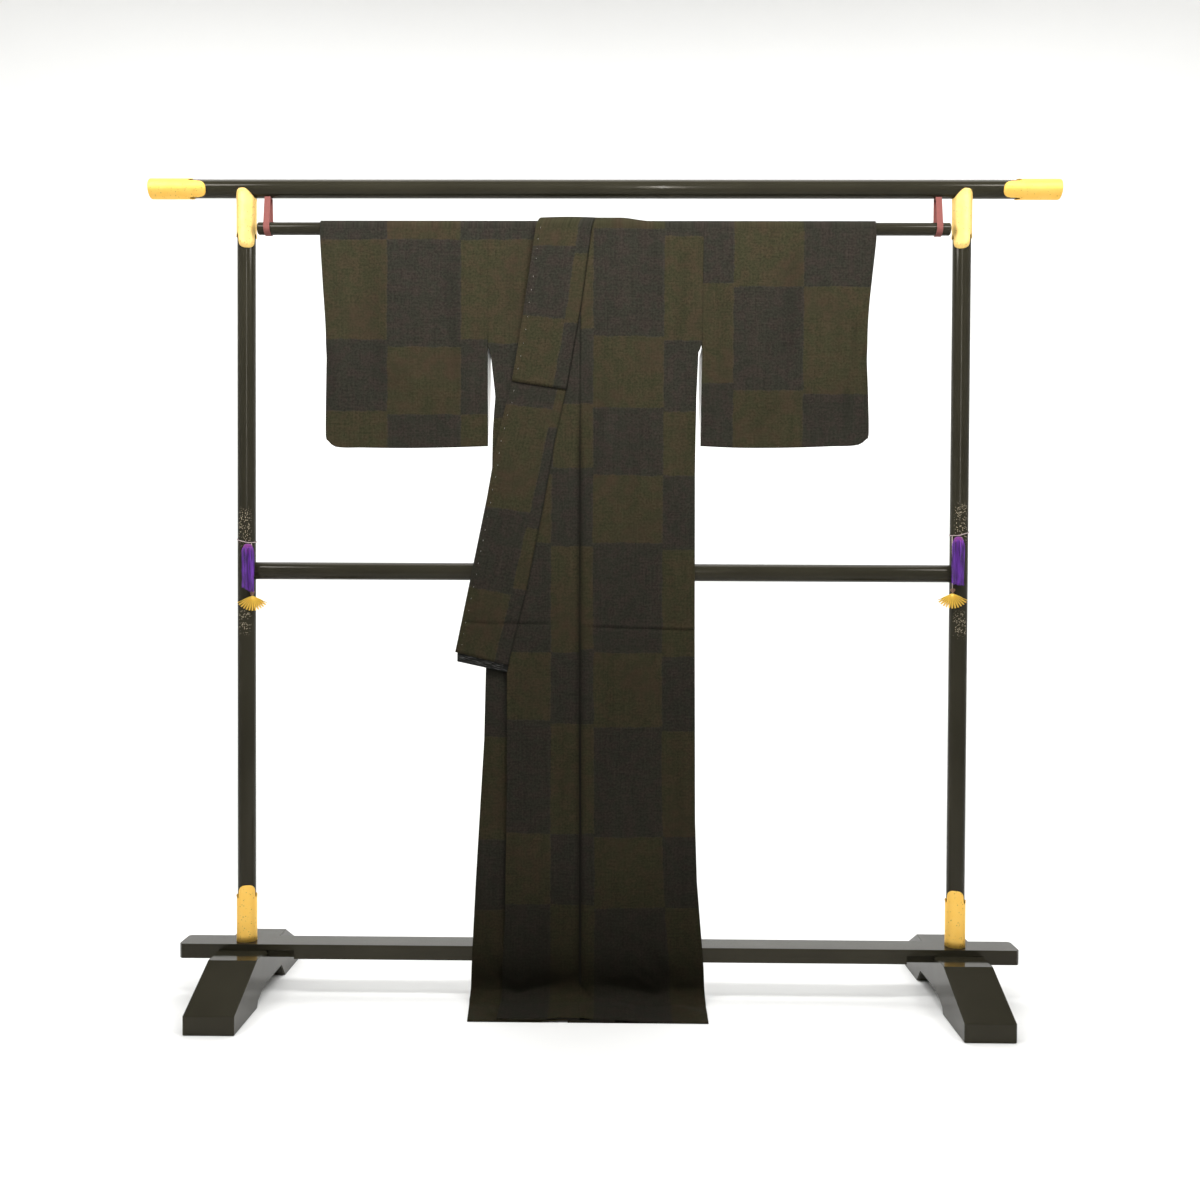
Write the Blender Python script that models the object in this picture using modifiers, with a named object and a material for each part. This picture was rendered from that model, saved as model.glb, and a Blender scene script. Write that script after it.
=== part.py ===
"""Lined silk kimono hung on a lacquered kimono stand, at real size in metres.

X runs to the right as the front is looked at, which is the wearer's left. Y runs away from the
viewer and Z runs up. The origin is on the floor, under the middle of the stand.
"""

import math

import bmesh
import bpy
from mathutils import Vector

OBJECT_NAME = "silk_kimono_on_stand"
GAP = 0.0003                    # clearance kept between two pieces that touch

# ---- stand -------------------------------------------------------------------------------
RAIL_RADIUS = 0.0183            # top rail
RAIL_Z = 1.6165
STAND_HALF_LENGTH = 0.9055      # over the end caps of the top rail
RAIL_END_ROOM = 0.0010          # the rail stops this far short of its caps
POST_RADIUS = 0.0180
POST_X = 0.7130
POST_SHORT = 0.0040              # a post ends this far under the middle of the top rail
MID_RAIL_RADIUS = 0.0175
MID_RAIL_Z = 0.8534
ROD_RADIUS = 0.0125             # hanging rod that carries the cloth
ROD_Y = -0.0100
ROD_Z = 1.5344
ROD_HALF_LENGTH = 0.6867

PLANK_TOP = 0.1073
PLANK_BOTTOM = 0.0781
PLANK_HALF_DEPTH = 0.0278
PLANK_LEFT = -0.8400
PLANK_RIGHT = 0.8325
PLANK_CORNER = 0.0050           # chamfer on the plank's upright corners
FOOT_HALF_WIDTH = 0.0476
FOOT_TOP = 0.0949
FOOT_OUTLINE = (                # a foot from the side: arch, rear pad, top, front pad, arch
    {"y": 0.0760, "z": 0.0285}, {"y": 0.1010, "z": 0.0}, {"y": 0.2185, "z": 0.0},
    {"y": 0.2185, "z": 0.0363}, {"y": 0.1110, "z": FOOT_TOP}, {"y": -0.0874, "z": FOOT_TOP},
    {"y": -0.2185, "z": 0.0363}, {"y": -0.2185, "z": 0.0}, {"y": -0.0840, "z": 0.0},
    {"y": -0.0775, "z": 0.0135}, {"y": -0.0560, "z": 0.0235}, {"y": -0.0250, "z": 0.0285},
)
RECESS_INNER = 0.6100           # blind recess in the plank beside a foot, and its depth
RECESS_DEPTH = 0.0120
RECESS_OVERLAP = 0.0020         # a recess runs on into the notch over the foot
EDGE_BEVEL = 0.0015

FITTING_WALL = 0.0010           # gilt sheet round the posts and the rail's ends
CAP_RADIUS = 0.0200             # outside of an end cap
CAP_EDGE = 0.8200               # where a cap's sleeve ends, and where its tongue does
CAP_TONGUE = 0.7890
TOP_FITTING_RADIUS = 0.0190
TOP_FITTING_EDGE = 1.5200
TOP_FITTING_TONGUE = 1.4945
RAIL_TONGUE_TIP = 1.6125
BOTTOM_FITTING_RADIUS = 0.0193
BOTTOM_FITTING_EDGE = 0.2000
BOTTOM_FITTING_TONGUE = 0.2226
TONGUE_HALF_WIDTH = 0.0160
BOTTOM_FITTING_SHARES = (0.0, 0.5, 1.0)         # rows of each sleeve, from end to end
TOP_FITTING_SHARES = (0.0, 0.72, 0.84, 0.92, 1.0)
CAP_PROFILE = ((0.0, 1.0), (0.5, 1.0), (1.0, 1.0), (1.02, 0.93))   # reach and width of a cap
CAP_CORNER = 0.0015
SHEET_SIDES = 20
BAR_SIDES = 32
CUTTER_SIDES = 48               # a cutter is rounder than the bar that it fits
CUTTER_REACH = 0.1000           # and runs on past it
CREASE_ANGLE = 40.0             # degrees; a sharper edge than this is shaded and bevelled

STRAP_X = (-0.6665, 0.6632)     # loops that carry the rod
STRAP_LEAN = (-0.0030, 0.0018)  # how far the top of each one hangs out of line
STRAP_WIDTH = 0.0120
STRAP_WALL = 0.0015
STRAP_TOP_HALF = 0.0070

# Ornament on each post: side of the stand, heights, and offsets across from the post's axis
ORNAMENTS = (
    {"name": "left", "side": -1, "loop_z": 0.9135, "tilt": -0.16, "tassel_x": 0.0116,
     "cord_top_x": 0.0150, "fan_x": 0.0180, "fan_z": 0.8030},
    {"name": "right", "side": 1, "loop_z": 0.9335, "tilt": 0.19, "tassel_x": -0.0095,
     "cord_top_x": -0.0165, "fan_x": -0.0180, "fan_z": 0.8145},
)
LOOP_RADIUS = 0.0008            # cord round the post
LOOP_STEPS = 16
TASSEL_LENGTH = 0.0950
TASSEL_HALF_WIDTH = 0.0128
TASSEL_HALF_DEPTH = 0.0085
TASSEL_Y = -0.0293
HEAD_HALF_HEIGHT = 0.0070
STRAND_RADIUS = 0.0009
STRAND_ROOT = 0.86              # strands spread from this share of the width at the head
STRAND_KNEE = 0.4               # to the whole width at this share of their length
STRAND_RINGS = (                # strands of a tassel, as rings of its oval section
    {"share": 0.95, "count": 18}, {"share": 0.64, "count": 12}, {"share": 0.32, "count": 6},
)
FAN_CORD_RADIUS = 0.0009
FAN_Y = -0.0204
FAN_RADIUS = 0.0337
FAN_DROP = 0.88                 # a fan's height as a share of its half width
FAN_SPREAD = 64.0               # degrees each way from straight down
FAN_RIBS = 12
FAN_PLEAT = 0.0010
FAN_WALL = 0.0012
KNOB_RADIUS = 0.0045

# ---- kimono ------------------------------------------------------------------------------
CLOTH = 0.0012                  # one lined layer
PLY = CLOTH + GAP
ROD_WRAP = ROD_RADIUS + GAP + CLOTH / 2        # middle of the layer that lies on the rod
PLEAT_PLY = 0.0018              # spacing of the layers in the pleat down the back
PLEAT_LEFT = -0.0570            # outer fold of that pleat, its inner fold and the back seam
PLEAT_RIGHT = 0.0300
BACK_SEAM = -0.0135
PLEAT_RAMP = 0.0600             # cloth settles to a single layer over this width
SETTLE = 0.0040                 # and starts to settle this far beyond a fold
ROD_STEPS = 10
TURN_STEPS = 4                  # steps of a half-turn, and of the bend onto the floor

# Plies between the innermost front layer and each piece of the folded front
LEVEL_RIGHT_OVER_COLLAR = 1
LEVEL_RIGHT_FRONT = 2
LEVEL_LEFT_FRONT = 3
LEVEL_LEFT_OVER_COLLAR = 4

# Distance of each layer out of the rod's wrap behind the rod
BEHIND_RIGHT_OVER_COLLAR = 1 * PLY
BEHIND_RIGHT_COLLAR = 2 * PLY
BEHIND_LEFT_COLLAR = 0.0054
BEHIND_LEFT_OVER_COLLAR = BEHIND_LEFT_COLLAR + PLY
BEHIND_BODY = BEHIND_LEFT_OVER_COLLAR + PLY
FLAP_TOP_Z = 1.4900             # the collar hangs behind the rod from here
FLAP_TURN_Z = 1.4460            # and turns back up here
NECK_Z = 1.5080                 # top of the neck edge of the back
FOLD_START = 0.97               # share of the way from the back seam to where a fold turns
PLEAT_TOP_Z = 1.4250
PLEAT_CLOSED_Z = 1.3600

BEND_Z = 0.0389                 # the cloth starts to turn onto the floor at this height
BEND_RADIUS = BEND_Z - CLOTH / 2 - GAP
HEM_Y = -0.1410
FREE_SIDE_Z = 1.1200            # the side seams draw the cloth in fully below this height
SIDE_FADE = 0.0500              # and not at all this much higher
SEAM_RAMP = 0.0200
CUFF_Z = 1.2900                 # the outer edge of a sleeve is sewn up below this height

# Depth of the rearmost layer at each height: on the rod, the middle rail and the plank
REAR_PATH = (
    {"z": ROD_Z, "y": ROD_Y + ROD_WRAP},
    {"z": 0.8750, "y": -(MID_RAIL_RADIUS + GAP + CLOTH / 2)},
    {"z": 0.8300, "y": -(MID_RAIL_RADIUS + GAP + CLOTH / 2)},
    {"z": 0.1120, "y": -(PLANK_HALF_DEPTH + GAP + CLOTH / 2)},
    {"z": BEND_Z, "y": -(PLANK_HALF_DEPTH + GAP + CLOTH / 2)},
)
BODY_HEIGHTS = (1.440, 1.374, 1.300, 1.287, 1.200, 1.125, 1.000, 0.875, 0.830, 0.690,
                0.530, 0.370, 0.230, 0.112, 0.074)
FLOOR_STEPS = (0.0, 0.40, 1.0)  # share of the way from the bend to the hem

# Side edges of the body, height against distance from the middle
RIGHT_SIDE = (
    {"z": 1.5344, "x": 0.1990}, {"z": 1.3000, "x": 0.1972}, {"z": 1.2950, "x": 0.1905},
    {"z": 1.2000, "x": 0.1866}, {"z": 1.0500, "x": 0.1850}, {"z": 0.7200, "x": 0.1863},
    {"z": 0.3600, "x": 0.1888}, {"z": 0.2400, "x": 0.1930}, {"z": 0.0740, "x": 0.2068},
    {"z": 0.0000, "x": 0.2100}, {"z": -0.1000, "x": 0.2079},
)
LEFT_SIDE = (
    {"z": 1.5344, "x": -0.2270}, {"z": 1.3000, "x": -0.2264}, {"z": 1.2760, "x": -0.2200},
    {"z": 1.2000, "x": -0.2114}, {"z": 1.1300, "x": -0.2169}, {"z": 0.9000, "x": -0.2200},
    {"z": 0.6590, "x": -0.2286}, {"z": 0.5200, "x": -0.2312}, {"z": 0.2400, "x": -0.2465},
    {"z": 0.0740, "x": -0.2541}, {"z": 0.0000, "x": -0.2562}, {"z": -0.1000, "x": -0.2482},
)
# Seam between the collar and the front it is sewn to, and the collar's free edge
COLLAR_SEAM = (
    {"z": 1.5344, "x": -0.0215}, {"z": 1.3740, "x": -0.0429}, {"z": 1.2141, "x": -0.0701},
    {"z": 1.1137, "x": -0.0928}, {"z": 0.9878, "x": -0.1144}, {"z": 0.8144, "x": -0.1484},
    {"z": 0.6673, "x": -0.1842},
)
COLLAR_EDGE = (
    {"z": 1.5344, "x": -0.1320}, {"z": 1.3215, "x": -0.1625}, {"z": 1.2257, "x": -0.1790},
    {"z": 1.1133, "x": -0.2078}, {"z": 1.0032, "x": -0.2267}, {"z": 0.8738, "x": -0.2528},
    {"z": 0.6935, "x": -0.2892},
)
NECK_SEAM_X = -0.0105           # the same two edges on top of the rod and behind it
NECK_EDGE_X = -0.1205
OKUMI_SEAM = (
    {"z": 1.3740, "x": -0.0429}, {"z": 1.1100, "x": -0.0430}, {"z": 0.7190, "x": -0.0417},
    {"z": 0.3600, "x": -0.0391}, {"z": -0.1000, "x": -0.0375},
)
OKUMI_EDGE = (
    {"z": 0.6574, "x": -0.1861}, {"z": 0.4140, "x": -0.1853}, {"z": 0.1600, "x": -0.1880},
    {"z": 0.0574, "x": -0.1927}, {"z": -0.1000, "x": -0.1930},
)
# Ends of the collar bands: heights at the free edge and at the seam
LEFT_COLLAR_END = {"edge": 0.6935, "seam": 0.6673}
RIGHT_COLLAR_END = {"edge": 0.6747, "seam": 0.6530}
OVER_COLLAR_END = {"edge": 1.2296, "seam": 1.2132}
UNDER_INSET = 0.0040            # the bands of the right front stay hidden by this much
OKUMI_TOP_Z = 1.3660
BAND_SHARES = (0.0, 0.33, 0.67, 1.0)
SIDE_STRIP = 0.0180             # strip along a side seam that is drawn in

# Sleeves: inner edge, outer edge and bottom, for the sleeve on each side of the body
SLEEVE_SHARES = (0.0, 0.22, 0.50, 0.78, 0.95, 1.0)
SLEEVES = (
    {"name": "sleeve_right",
     "inner": ({"z": 1.5344, "x": -0.2270}, {"z": 1.3000, "x": -0.2264}, {"z": 1.0950, "x": -0.2259}),
     "outer": ({"z": 1.5344, "x": -0.5597}, {"z": 1.5100, "x": -0.5595}, {"z": 1.4280, "x": -0.5547},
               {"z": 1.3240, "x": -0.5483}, {"z": 1.2500, "x": -0.5490}, {"z": 1.1250, "x": -0.5498},
               {"z": 1.1146, "x": -0.5480}),
     "bottom": (1.1040, 1.1015, 1.0998, 1.1005, 1.1025, 1.1165)},
    {"name": "sleeve_left",
     "inner": ({"z": 1.5344, "x": 0.1990}, {"z": 1.3000, "x": 0.1972}, {"z": 1.0950, "x": 0.1952}),
     "outer": ({"z": 1.5344, "x": 0.5378}, {"z": 1.5150, "x": 0.5387}, {"z": 1.4400, "x": 0.5314},
               {"z": 1.3750, "x": 0.5253}, {"z": 1.3100, "x": 0.5227}, {"z": 1.2000, "x": 0.5266},
               {"z": 1.1310, "x": 0.5282}, {"z": 1.1180, "x": 0.5260}),
     "bottom": (1.1055, 1.1025, 1.1028, 1.1060, 1.1095, 1.1225)},
)
SLEEVE_DROPS = (0.10, 0.28, 0.48, 0.56, 0.68, 0.84, 0.94)    # share of the sleeve's length
SLEEVE_CLOSE_FROM = 0.70        # its two walls come together below this share
SLEEVE_HALF = 0.0009            # half the spacing of the two walls where they meet

COLOURS = {                     # colour, roughness, metallic
    "lacquer": ((0.012, 0.010, 0.009), 0.12, 0.0),
    "gilt": ((0.85, 0.56, 0.14), 0.30, 1.0),
    "silk": ((0.040, 0.036, 0.028), 0.70, 0.0),
    "strap": ((0.27, 0.07, 0.06), 0.70, 0.0),
    "tassel": ((0.13, 0.03, 0.33), 0.60, 0.0),
    "cord": ((0.62, 0.44, 0.48), 0.60, 0.0),
}


# ---- helpers -----------------------------------------------------------------------------
def clear_scene():
    """Start from nothing."""
    for item in list(bpy.data.objects):
        bpy.data.objects.remove(item, do_unlink=True)


def collection(name):
    """A collection under the scene's own."""
    group = bpy.data.collections.new(name)
    bpy.context.scene.collection.children.link(group)
    return group


def material(name, finish):
    """A Principled material with one of the named finishes."""
    colour, roughness, metallic = COLOURS[finish]
    made = bpy.data.materials.new(name)
    made.use_nodes = True
    shader = made.node_tree.nodes["Principled BSDF"]
    shader.inputs["Base Color"].default_value = (*colour, 1.0)
    shader.inputs["Roughness"].default_value = roughness
    shader.inputs["Metallic"].default_value = metallic
    return made


def add_object(name, bm, finish, group):
    """Turn a bmesh into a named object with a material of its own."""
    bmesh.ops.recalc_face_normals(bm, faces=bm.faces)
    mesh = bpy.data.meshes.new(name)
    bm.to_mesh(mesh)
    bm.free()
    mesh.shade_smooth()
    mesh.set_sharp_from_angle(angle=math.radians(CREASE_ANGLE))
    made = bpy.data.objects.new(name, mesh)
    made.data.materials.append(material(name, finish))
    group.objects.link(made)
    return made


def bevel(item, width):
    """Round the sharp edges of a piece."""
    made = item.modifiers.new("edges", "BEVEL")
    made.width = width
    made.segments = 1
    made.limit_method = "ANGLE"
    made.angle_limit = math.radians(CREASE_ANGLE)


def thicken(item, wall):
    """Give a sheet its wall, half to each side."""
    made = item.modifiers.new("wall", "SOLIDIFY")
    made.thickness = wall
    made.offset = 0.0


def boolean(item, other, operation):
    """Cut a piece with another, or join the two."""
    made = item.modifiers.new(operation.lower(), "BOOLEAN")
    made.object = other
    made.operation = operation
    made.solver = "EXACT"


def cutter(item, group):
    """Keep a cutting shape out of sight, in the cutters' own collection."""
    for old in list(item.users_collection):
        old.objects.unlink(item)
    group.objects.link(item)
    item.hide_render = True
    item.display_type = "WIRE"


def round_bar(name, radius, start, end, finish, group, sides=BAR_SIDES):
    """A closed cylinder from one point to another."""
    start = Vector(start)
    end = Vector(end)
    run = end - start
    turn = run.to_track_quat("Z", "Y").to_matrix().to_4x4()
    bm = bmesh.new()
    bmesh.ops.create_cone(bm, cap_ends=True, segments=sides, radius1=radius, radius2=radius,
                          depth=run.length, matrix=turn)
    made = add_object(name, bm, finish, group)
    made.location = (start + end) / 2
    return made


def flat_solid(name, outline, depth, finish, group):
    """A flat outline with a thickness, as a mesh that can be cut: depth lies along its Z."""
    curve = bpy.data.curves.new(name, "CURVE")
    curve.dimensions = "2D"
    curve.fill_mode = "BOTH"
    curve.extrude = depth / 2
    spline = curve.splines.new("POLY")
    spline.points.add(len(outline) - 1)
    for target, (x, y) in zip(spline.points, outline):
        target.co = (x, y, 0.0, 1.0)
    spline.use_cyclic_u = True
    flat = bpy.data.objects.new(name + "_outline", curve)
    group.objects.link(flat)
    bpy.context.view_layer.update()
    mesh = bpy.data.meshes.new_from_object(flat.evaluated_get(
        bpy.context.evaluated_depsgraph_get()))
    bpy.data.objects.remove(flat, do_unlink=True)
    bm = bmesh.new()
    bm.from_mesh(mesh)
    bpy.data.meshes.remove(mesh)
    bmesh.ops.remove_doubles(bm, verts=bm.verts, dist=0.00001)
    return add_object(name, bm, finish, group)


def box(name, low, high, finish, group):
    """A block between two corners."""
    size = Vector(high) - Vector(low)
    bm = bmesh.new()
    bmesh.ops.create_cube(bm, size=1.0)
    bmesh.ops.scale(bm, verts=bm.verts, vec=size)
    made = add_object(name, bm, finish, group)
    made.location = (Vector(high) + Vector(low)) / 2
    return made


def read_table(table, z):
    """The x of a table at a height, straight between its rows and held beyond them."""
    if z >= table[0]["z"]:
        return table[0]["x"]
    for upper, lower in zip(table, table[1:]):
        if z >= lower["z"]:
            share = (upper["z"] - z) / (upper["z"] - lower["z"])
            return upper["x"] + share * (lower["x"] - upper["x"])
    return table[-1]["x"]


def smooth_step(value):
    """0 to 1 with level ends."""
    held = min(max(value, 0.0), 1.0)
    return held * held * (3 - 2 * held)


def mix(start, end, share):
    return start + (end - start) * share


def sheet(name, rows, finish, group, wall, ring=False, tube=False):
    """A wall from rows of points. A row may be shorter than its neighbour, a ring joins its
    last row to its first, and a tube joins each row's last point to its first."""
    bm = bmesh.new()
    grid = [[bm.verts.new(point) if point else None for point in row] for row in rows]
    pairs = list(zip(grid, grid[1:]))
    if ring:
        pairs.append((grid[-1], grid[0]))
    for upper, lower in pairs:
        columns = range(len(upper)) if tube else range(len(upper) - 1)
        for column in columns:
            after = (column + 1) % len(upper)
            corners = (upper[column], upper[after], lower[after], lower[column])
            if all(corners):
                bm.faces.new(corners)
    made = add_object(name, bm, finish, group)
    thicken(made, wall)
    return made


# ---- stand -------------------------------------------------------------------------------
def tongue(share):
    """Outline of a gilt tongue: full in the middle, rounded down to nothing at its sides."""
    held = min(abs(share), 1.0)
    return (1 - held ** 3) ** (1 / 3)


def build_rails(group, cutters):
    """Top rail, middle rail and hanging rod."""
    inner = STAND_HALF_LENGTH - FITTING_WALL - GAP - RAIL_END_ROOM
    rail = round_bar("top_rail", RAIL_RADIUS, (-inner, 0, RAIL_Z), (inner, 0, RAIL_Z),
                     "lacquer", group)
    bevel(rail, EDGE_BEVEL)
    middle = round_bar("middle_rail", MID_RAIL_RADIUS, (-POST_X, 0, MID_RAIL_Z),
                       (POST_X, 0, MID_RAIL_Z), "lacquer", group)
    for side in (-1, 1):
        shape = round_bar(f"cut_middle_rail_{side}", POST_RADIUS + GAP,
                          (side * POST_X, 0, MID_RAIL_Z - CUTTER_REACH),
                          (side * POST_X, 0, MID_RAIL_Z + CUTTER_REACH), "lacquer", group,
                          sides=CUTTER_SIDES)
        cutter(shape, cutters)
        boolean(middle, shape, "DIFFERENCE")
    rod = round_bar("hanging_rod", ROD_RADIUS, (-ROD_HALF_LENGTH, ROD_Y, ROD_Z),
                    (ROD_HALF_LENGTH, ROD_Y, ROD_Z), "lacquer", group, sides=40)
    bevel(rod, 0.0030)


def build_posts(group, cutters):
    """Posts, coped to the top rail."""
    cope = round_bar("cut_posts", RAIL_RADIUS + GAP, (-1, 0, RAIL_Z), (1, 0, RAIL_Z),
                     "lacquer", group, sides=CUTTER_SIDES)
    cutter(cope, cutters)
    for name, side in (("left", -1), ("right", 1)):
        post = round_bar(f"post_{name}", POST_RADIUS, (side * POST_X, 0, PLANK_TOP + GAP),
                         (side * POST_X, 0, RAIL_Z - POST_SHORT), "lacquer", group)
        boolean(post, cope, "DIFFERENCE")


def build_fittings(group):
    """Gilt sleeves with tongues, at the foot and at the head of each post."""
    angles = [2 * math.pi * (index + 0.5) / SHEET_SIDES for index in range(SHEET_SIDES)]
    clear = RAIL_RADIUS + 3 * GAP + FITTING_WALL / 2
    for name, side in (("left", -1), ("right", 1)):
        bottom = []
        for share in BOTTOM_FITTING_SHARES:
            row = []
            for angle in angles:
                x = BOTTOM_FITTING_RADIUS * math.sin(angle)
                top = mix(BOTTOM_FITTING_EDGE, BOTTOM_FITTING_TONGUE,
                          tongue(x / TONGUE_HALF_WIDTH))
                row.append((side * POST_X + x, -BOTTOM_FITTING_RADIUS * math.cos(angle),
                            mix(PLANK_TOP + GAP, top, share)))
            bottom.append(row)
        sheet(f"fitting_bottom_{name}", bottom, "gilt", group, FITTING_WALL, tube=True)

        head = []
        for share in TOP_FITTING_SHARES:
            row = []
            for angle in angles:
                x = TOP_FITTING_RADIUS * math.sin(angle)
                depth = TOP_FITTING_RADIUS * math.cos(angle)
                outline = tongue(x / TONGUE_HALF_WIDTH)
                low = mix(TOP_FITTING_EDGE, TOP_FITTING_TONGUE, outline)
                z = mix(low, mix(RAIL_Z - clear, RAIL_TONGUE_TIP, outline), share)
                hug = math.sqrt(max(clear ** 2 - (RAIL_Z - z) ** 2, 0.0))
                depth = math.copysign(max(abs(depth), hug), depth)
                row.append((side * POST_X + x, -depth, z))
            head.append(row)
        sheet(f"fitting_top_{name}", head, "gilt", group, FITTING_WALL, tube=True)


def build_caps(group):
    """Gilt caps over the ends of the top rail."""
    radius = CAP_RADIUS - FITTING_WALL / 2
    end = STAND_HALF_LENGTH - FITTING_WALL / 2
    for name, side in (("left", -1), ("right", 1)):
        bm = bmesh.new()
        loops = []
        for reach, width in CAP_PROFILE:
            loop = []
            for index in range(SHEET_SIDES):
                angle = 2 * math.pi * (index + 0.5) / SHEET_SIDES
                z = radius * math.sin(angle)
                edge = mix(CAP_EDGE, CAP_TONGUE, tongue(z / TONGUE_HALF_WIDTH))
                x = mix(edge, end - CAP_CORNER, reach) if reach <= 1 else end
                loop.append(bm.verts.new((side * x, radius * math.cos(angle) * width,
                                          RAIL_Z + z * width)))
            loops.append(loop)
        for near, far in zip(loops, loops[1:]):
            for index in range(SHEET_SIDES):
                after = (index + 1) % SHEET_SIDES
                bm.faces.new((near[index], near[after], far[after], far[index]))
        bm.faces.new(loops[-1])
        cap = add_object(f"end_cap_{name}", bm, "gilt", group)
        thicken(cap, FITTING_WALL)


def build_base(group, cutters):
    """Plank notched over the two feet, and the feet."""
    left, right = PLANK_LEFT, PLANK_RIGHT
    depth = PLANK_HALF_DEPTH
    cut = PLANK_CORNER
    outline = ((right, depth - cut), (right - cut, depth), (left + cut, depth), (left, depth - cut),
               (left, cut - depth), (left + cut, -depth), (right - cut, -depth),
               (right, cut - depth))
    plank = flat_solid("base_plank", outline, PLANK_TOP - PLANK_BOTTOM, "lacquer", group)
    plank.location = (0, 0, (PLANK_TOP + PLANK_BOTTOM) / 2)
    foot_inner = POST_X - FOOT_HALF_WIDTH - GAP
    foot_outer = POST_X + FOOT_HALF_WIDTH + GAP
    under = PLANK_BOTTOM - 0.01
    for side in (-1, 1):
        cuts = [(foot_inner, foot_outer, -2 * depth, 2 * depth)]
        for face in (-1, 1):
            near, far = sorted((face * (depth - RECESS_DEPTH), face * 2 * depth))
            cuts.append((RECESS_INNER, foot_inner + RECESS_OVERLAP, near, far))
        for index, (x_low, x_high, y_low, y_high) in enumerate(cuts):
            low_x, high_x = sorted((side * x_low, side * x_high))
            notch = box(f"cut_plank_{side}_{index}", (low_x, y_low, under),
                        (high_x, y_high, FOOT_TOP + GAP), "lacquer", cutters)
            cutter(notch, cutters)
            boolean(plank, notch, "DIFFERENCE")
    bevel(plank, EDGE_BEVEL)

    profile = [(corner["y"], corner["z"]) for corner in FOOT_OUTLINE]
    for name, side in (("left", -1), ("right", 1)):
        foot = flat_solid(f"foot_{name}", profile, 2 * FOOT_HALF_WIDTH, "lacquer", group)
        foot.rotation_euler = (math.pi / 2, 0, math.pi / 2)
        foot.location = (side * POST_X, 0, 0)
        bevel(foot, EDGE_BEVEL)


def touch_angle(point, radius):
    """Half the angle at a circle's centre between the two lines that touch it from a point."""
    return math.acos(radius / math.hypot(*point))


def build_straps(group):
    """Flat loops under the top rail that the rod lies in."""
    under = RAIL_RADIUS + GAP + STRAP_WALL / 2
    around = ROD_RADIUS + GAP + STRAP_WALL / 2
    path = []
    for index in range(5):
        y = mix(-STRAP_TOP_HALF, STRAP_TOP_HALF, index / 4)
        path.append((y, RAIL_Z - math.sqrt(under ** 2 - y ** 2)))
    ends = []
    for turn, (y, z) in ((-1, path[-1]), (1, path[0])):
        seen = (y - ROD_Y, z - ROD_Z)
        ends.append(math.atan2(seen[1], seen[0]) + turn * touch_angle(seen, around))
    rear, front = ends[0], ends[1] - 2 * math.pi
    for index in range(13):
        angle = mix(rear, front, index / 12)
        path.append((ROD_Y + around * math.cos(angle), ROD_Z + around * math.sin(angle)))
    for name, middle, lean in zip(("left", "right"), STRAP_X, STRAP_LEAN):
        rows = []
        for y, z in path:
            x = middle + lean * (z - ROD_Z) / (RAIL_Z - ROD_Z)
            rows.append([(x - STRAP_WIDTH / 2, y, z), (x + STRAP_WIDTH / 2, y, z)])
        sheet(f"rod_strap_{name}", rows, "strap", group, STRAP_WALL, ring=True)


def cord_mesh(name, points, radius, closed, finish, group):
    """A round cord as a bevelled curve."""
    curve = bpy.data.curves.new(name, "CURVE")
    curve.dimensions = "3D"
    curve.bevel_depth = radius
    curve.bevel_resolution = 2
    curve.use_fill_caps = not closed
    spline = curve.splines.new("POLY")
    spline.points.add(len(points) - 1)
    for target, point in zip(spline.points, points):
        target.co = (*point, 1.0)
    spline.use_cyclic_u = closed
    made = bpy.data.objects.new(name, curve)
    made.data.materials.append(material(name, finish))
    group.objects.link(made)
    return made


def build_tassel(name, top, group, cutters):
    """A rounded head with strands that stand apart below it, their roots fused into the head."""
    strands = bmesh.new()
    root = top.z - HEAD_HALF_HEIGHT
    for ring in STRAND_RINGS:
        for index in range(ring["count"]):
            angle = 2 * math.pi * index / ring["count"]
            end = top.z - TASSEL_LENGTH + 0.0015 * (1 + math.sin(3 * angle + 9 * ring["share"]))
            loops = []
            knee = mix(root, end, STRAND_KNEE)
            for z, grow in ((root, STRAND_ROOT), (knee, 1.0), (end, 1.0)):
                x = top.x + TASSEL_HALF_WIDTH * ring["share"] * grow * math.sin(angle)
                y = top.y + TASSEL_HALF_DEPTH * ring["share"] * grow * math.cos(angle)
                turns = [angle + 2 * math.pi * corner / 3 for corner in range(3)]
                loops.append([strands.verts.new((x + STRAND_RADIUS * math.sin(turn),
                                                 y + STRAND_RADIUS * math.cos(turn), z))
                              for turn in turns])
            for upper, lower in zip(loops, loops[1:]):
                for corner in range(3):
                    after = (corner + 1) % 3
                    strands.faces.new((upper[corner], upper[after], lower[after], lower[corner]))
            strands.faces.new(loops[0])
            strands.faces.new(loops[-1])
    tassel = add_object(f"tassel_{name}", strands, "tassel", group)

    bm = bmesh.new()
    bmesh.ops.create_uvsphere(bm, u_segments=14, v_segments=6, radius=1.0)
    bmesh.ops.scale(bm, verts=bm.verts, vec=(TASSEL_HALF_WIDTH, TASSEL_HALF_DEPTH,
                                             HEAD_HALF_HEIGHT))
    head = add_object(f"head_{name}", bm, "tassel", group)
    head.location = (top.x, top.y, root)
    cutter(head, cutters)
    boolean(tassel, head, "UNION")


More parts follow.
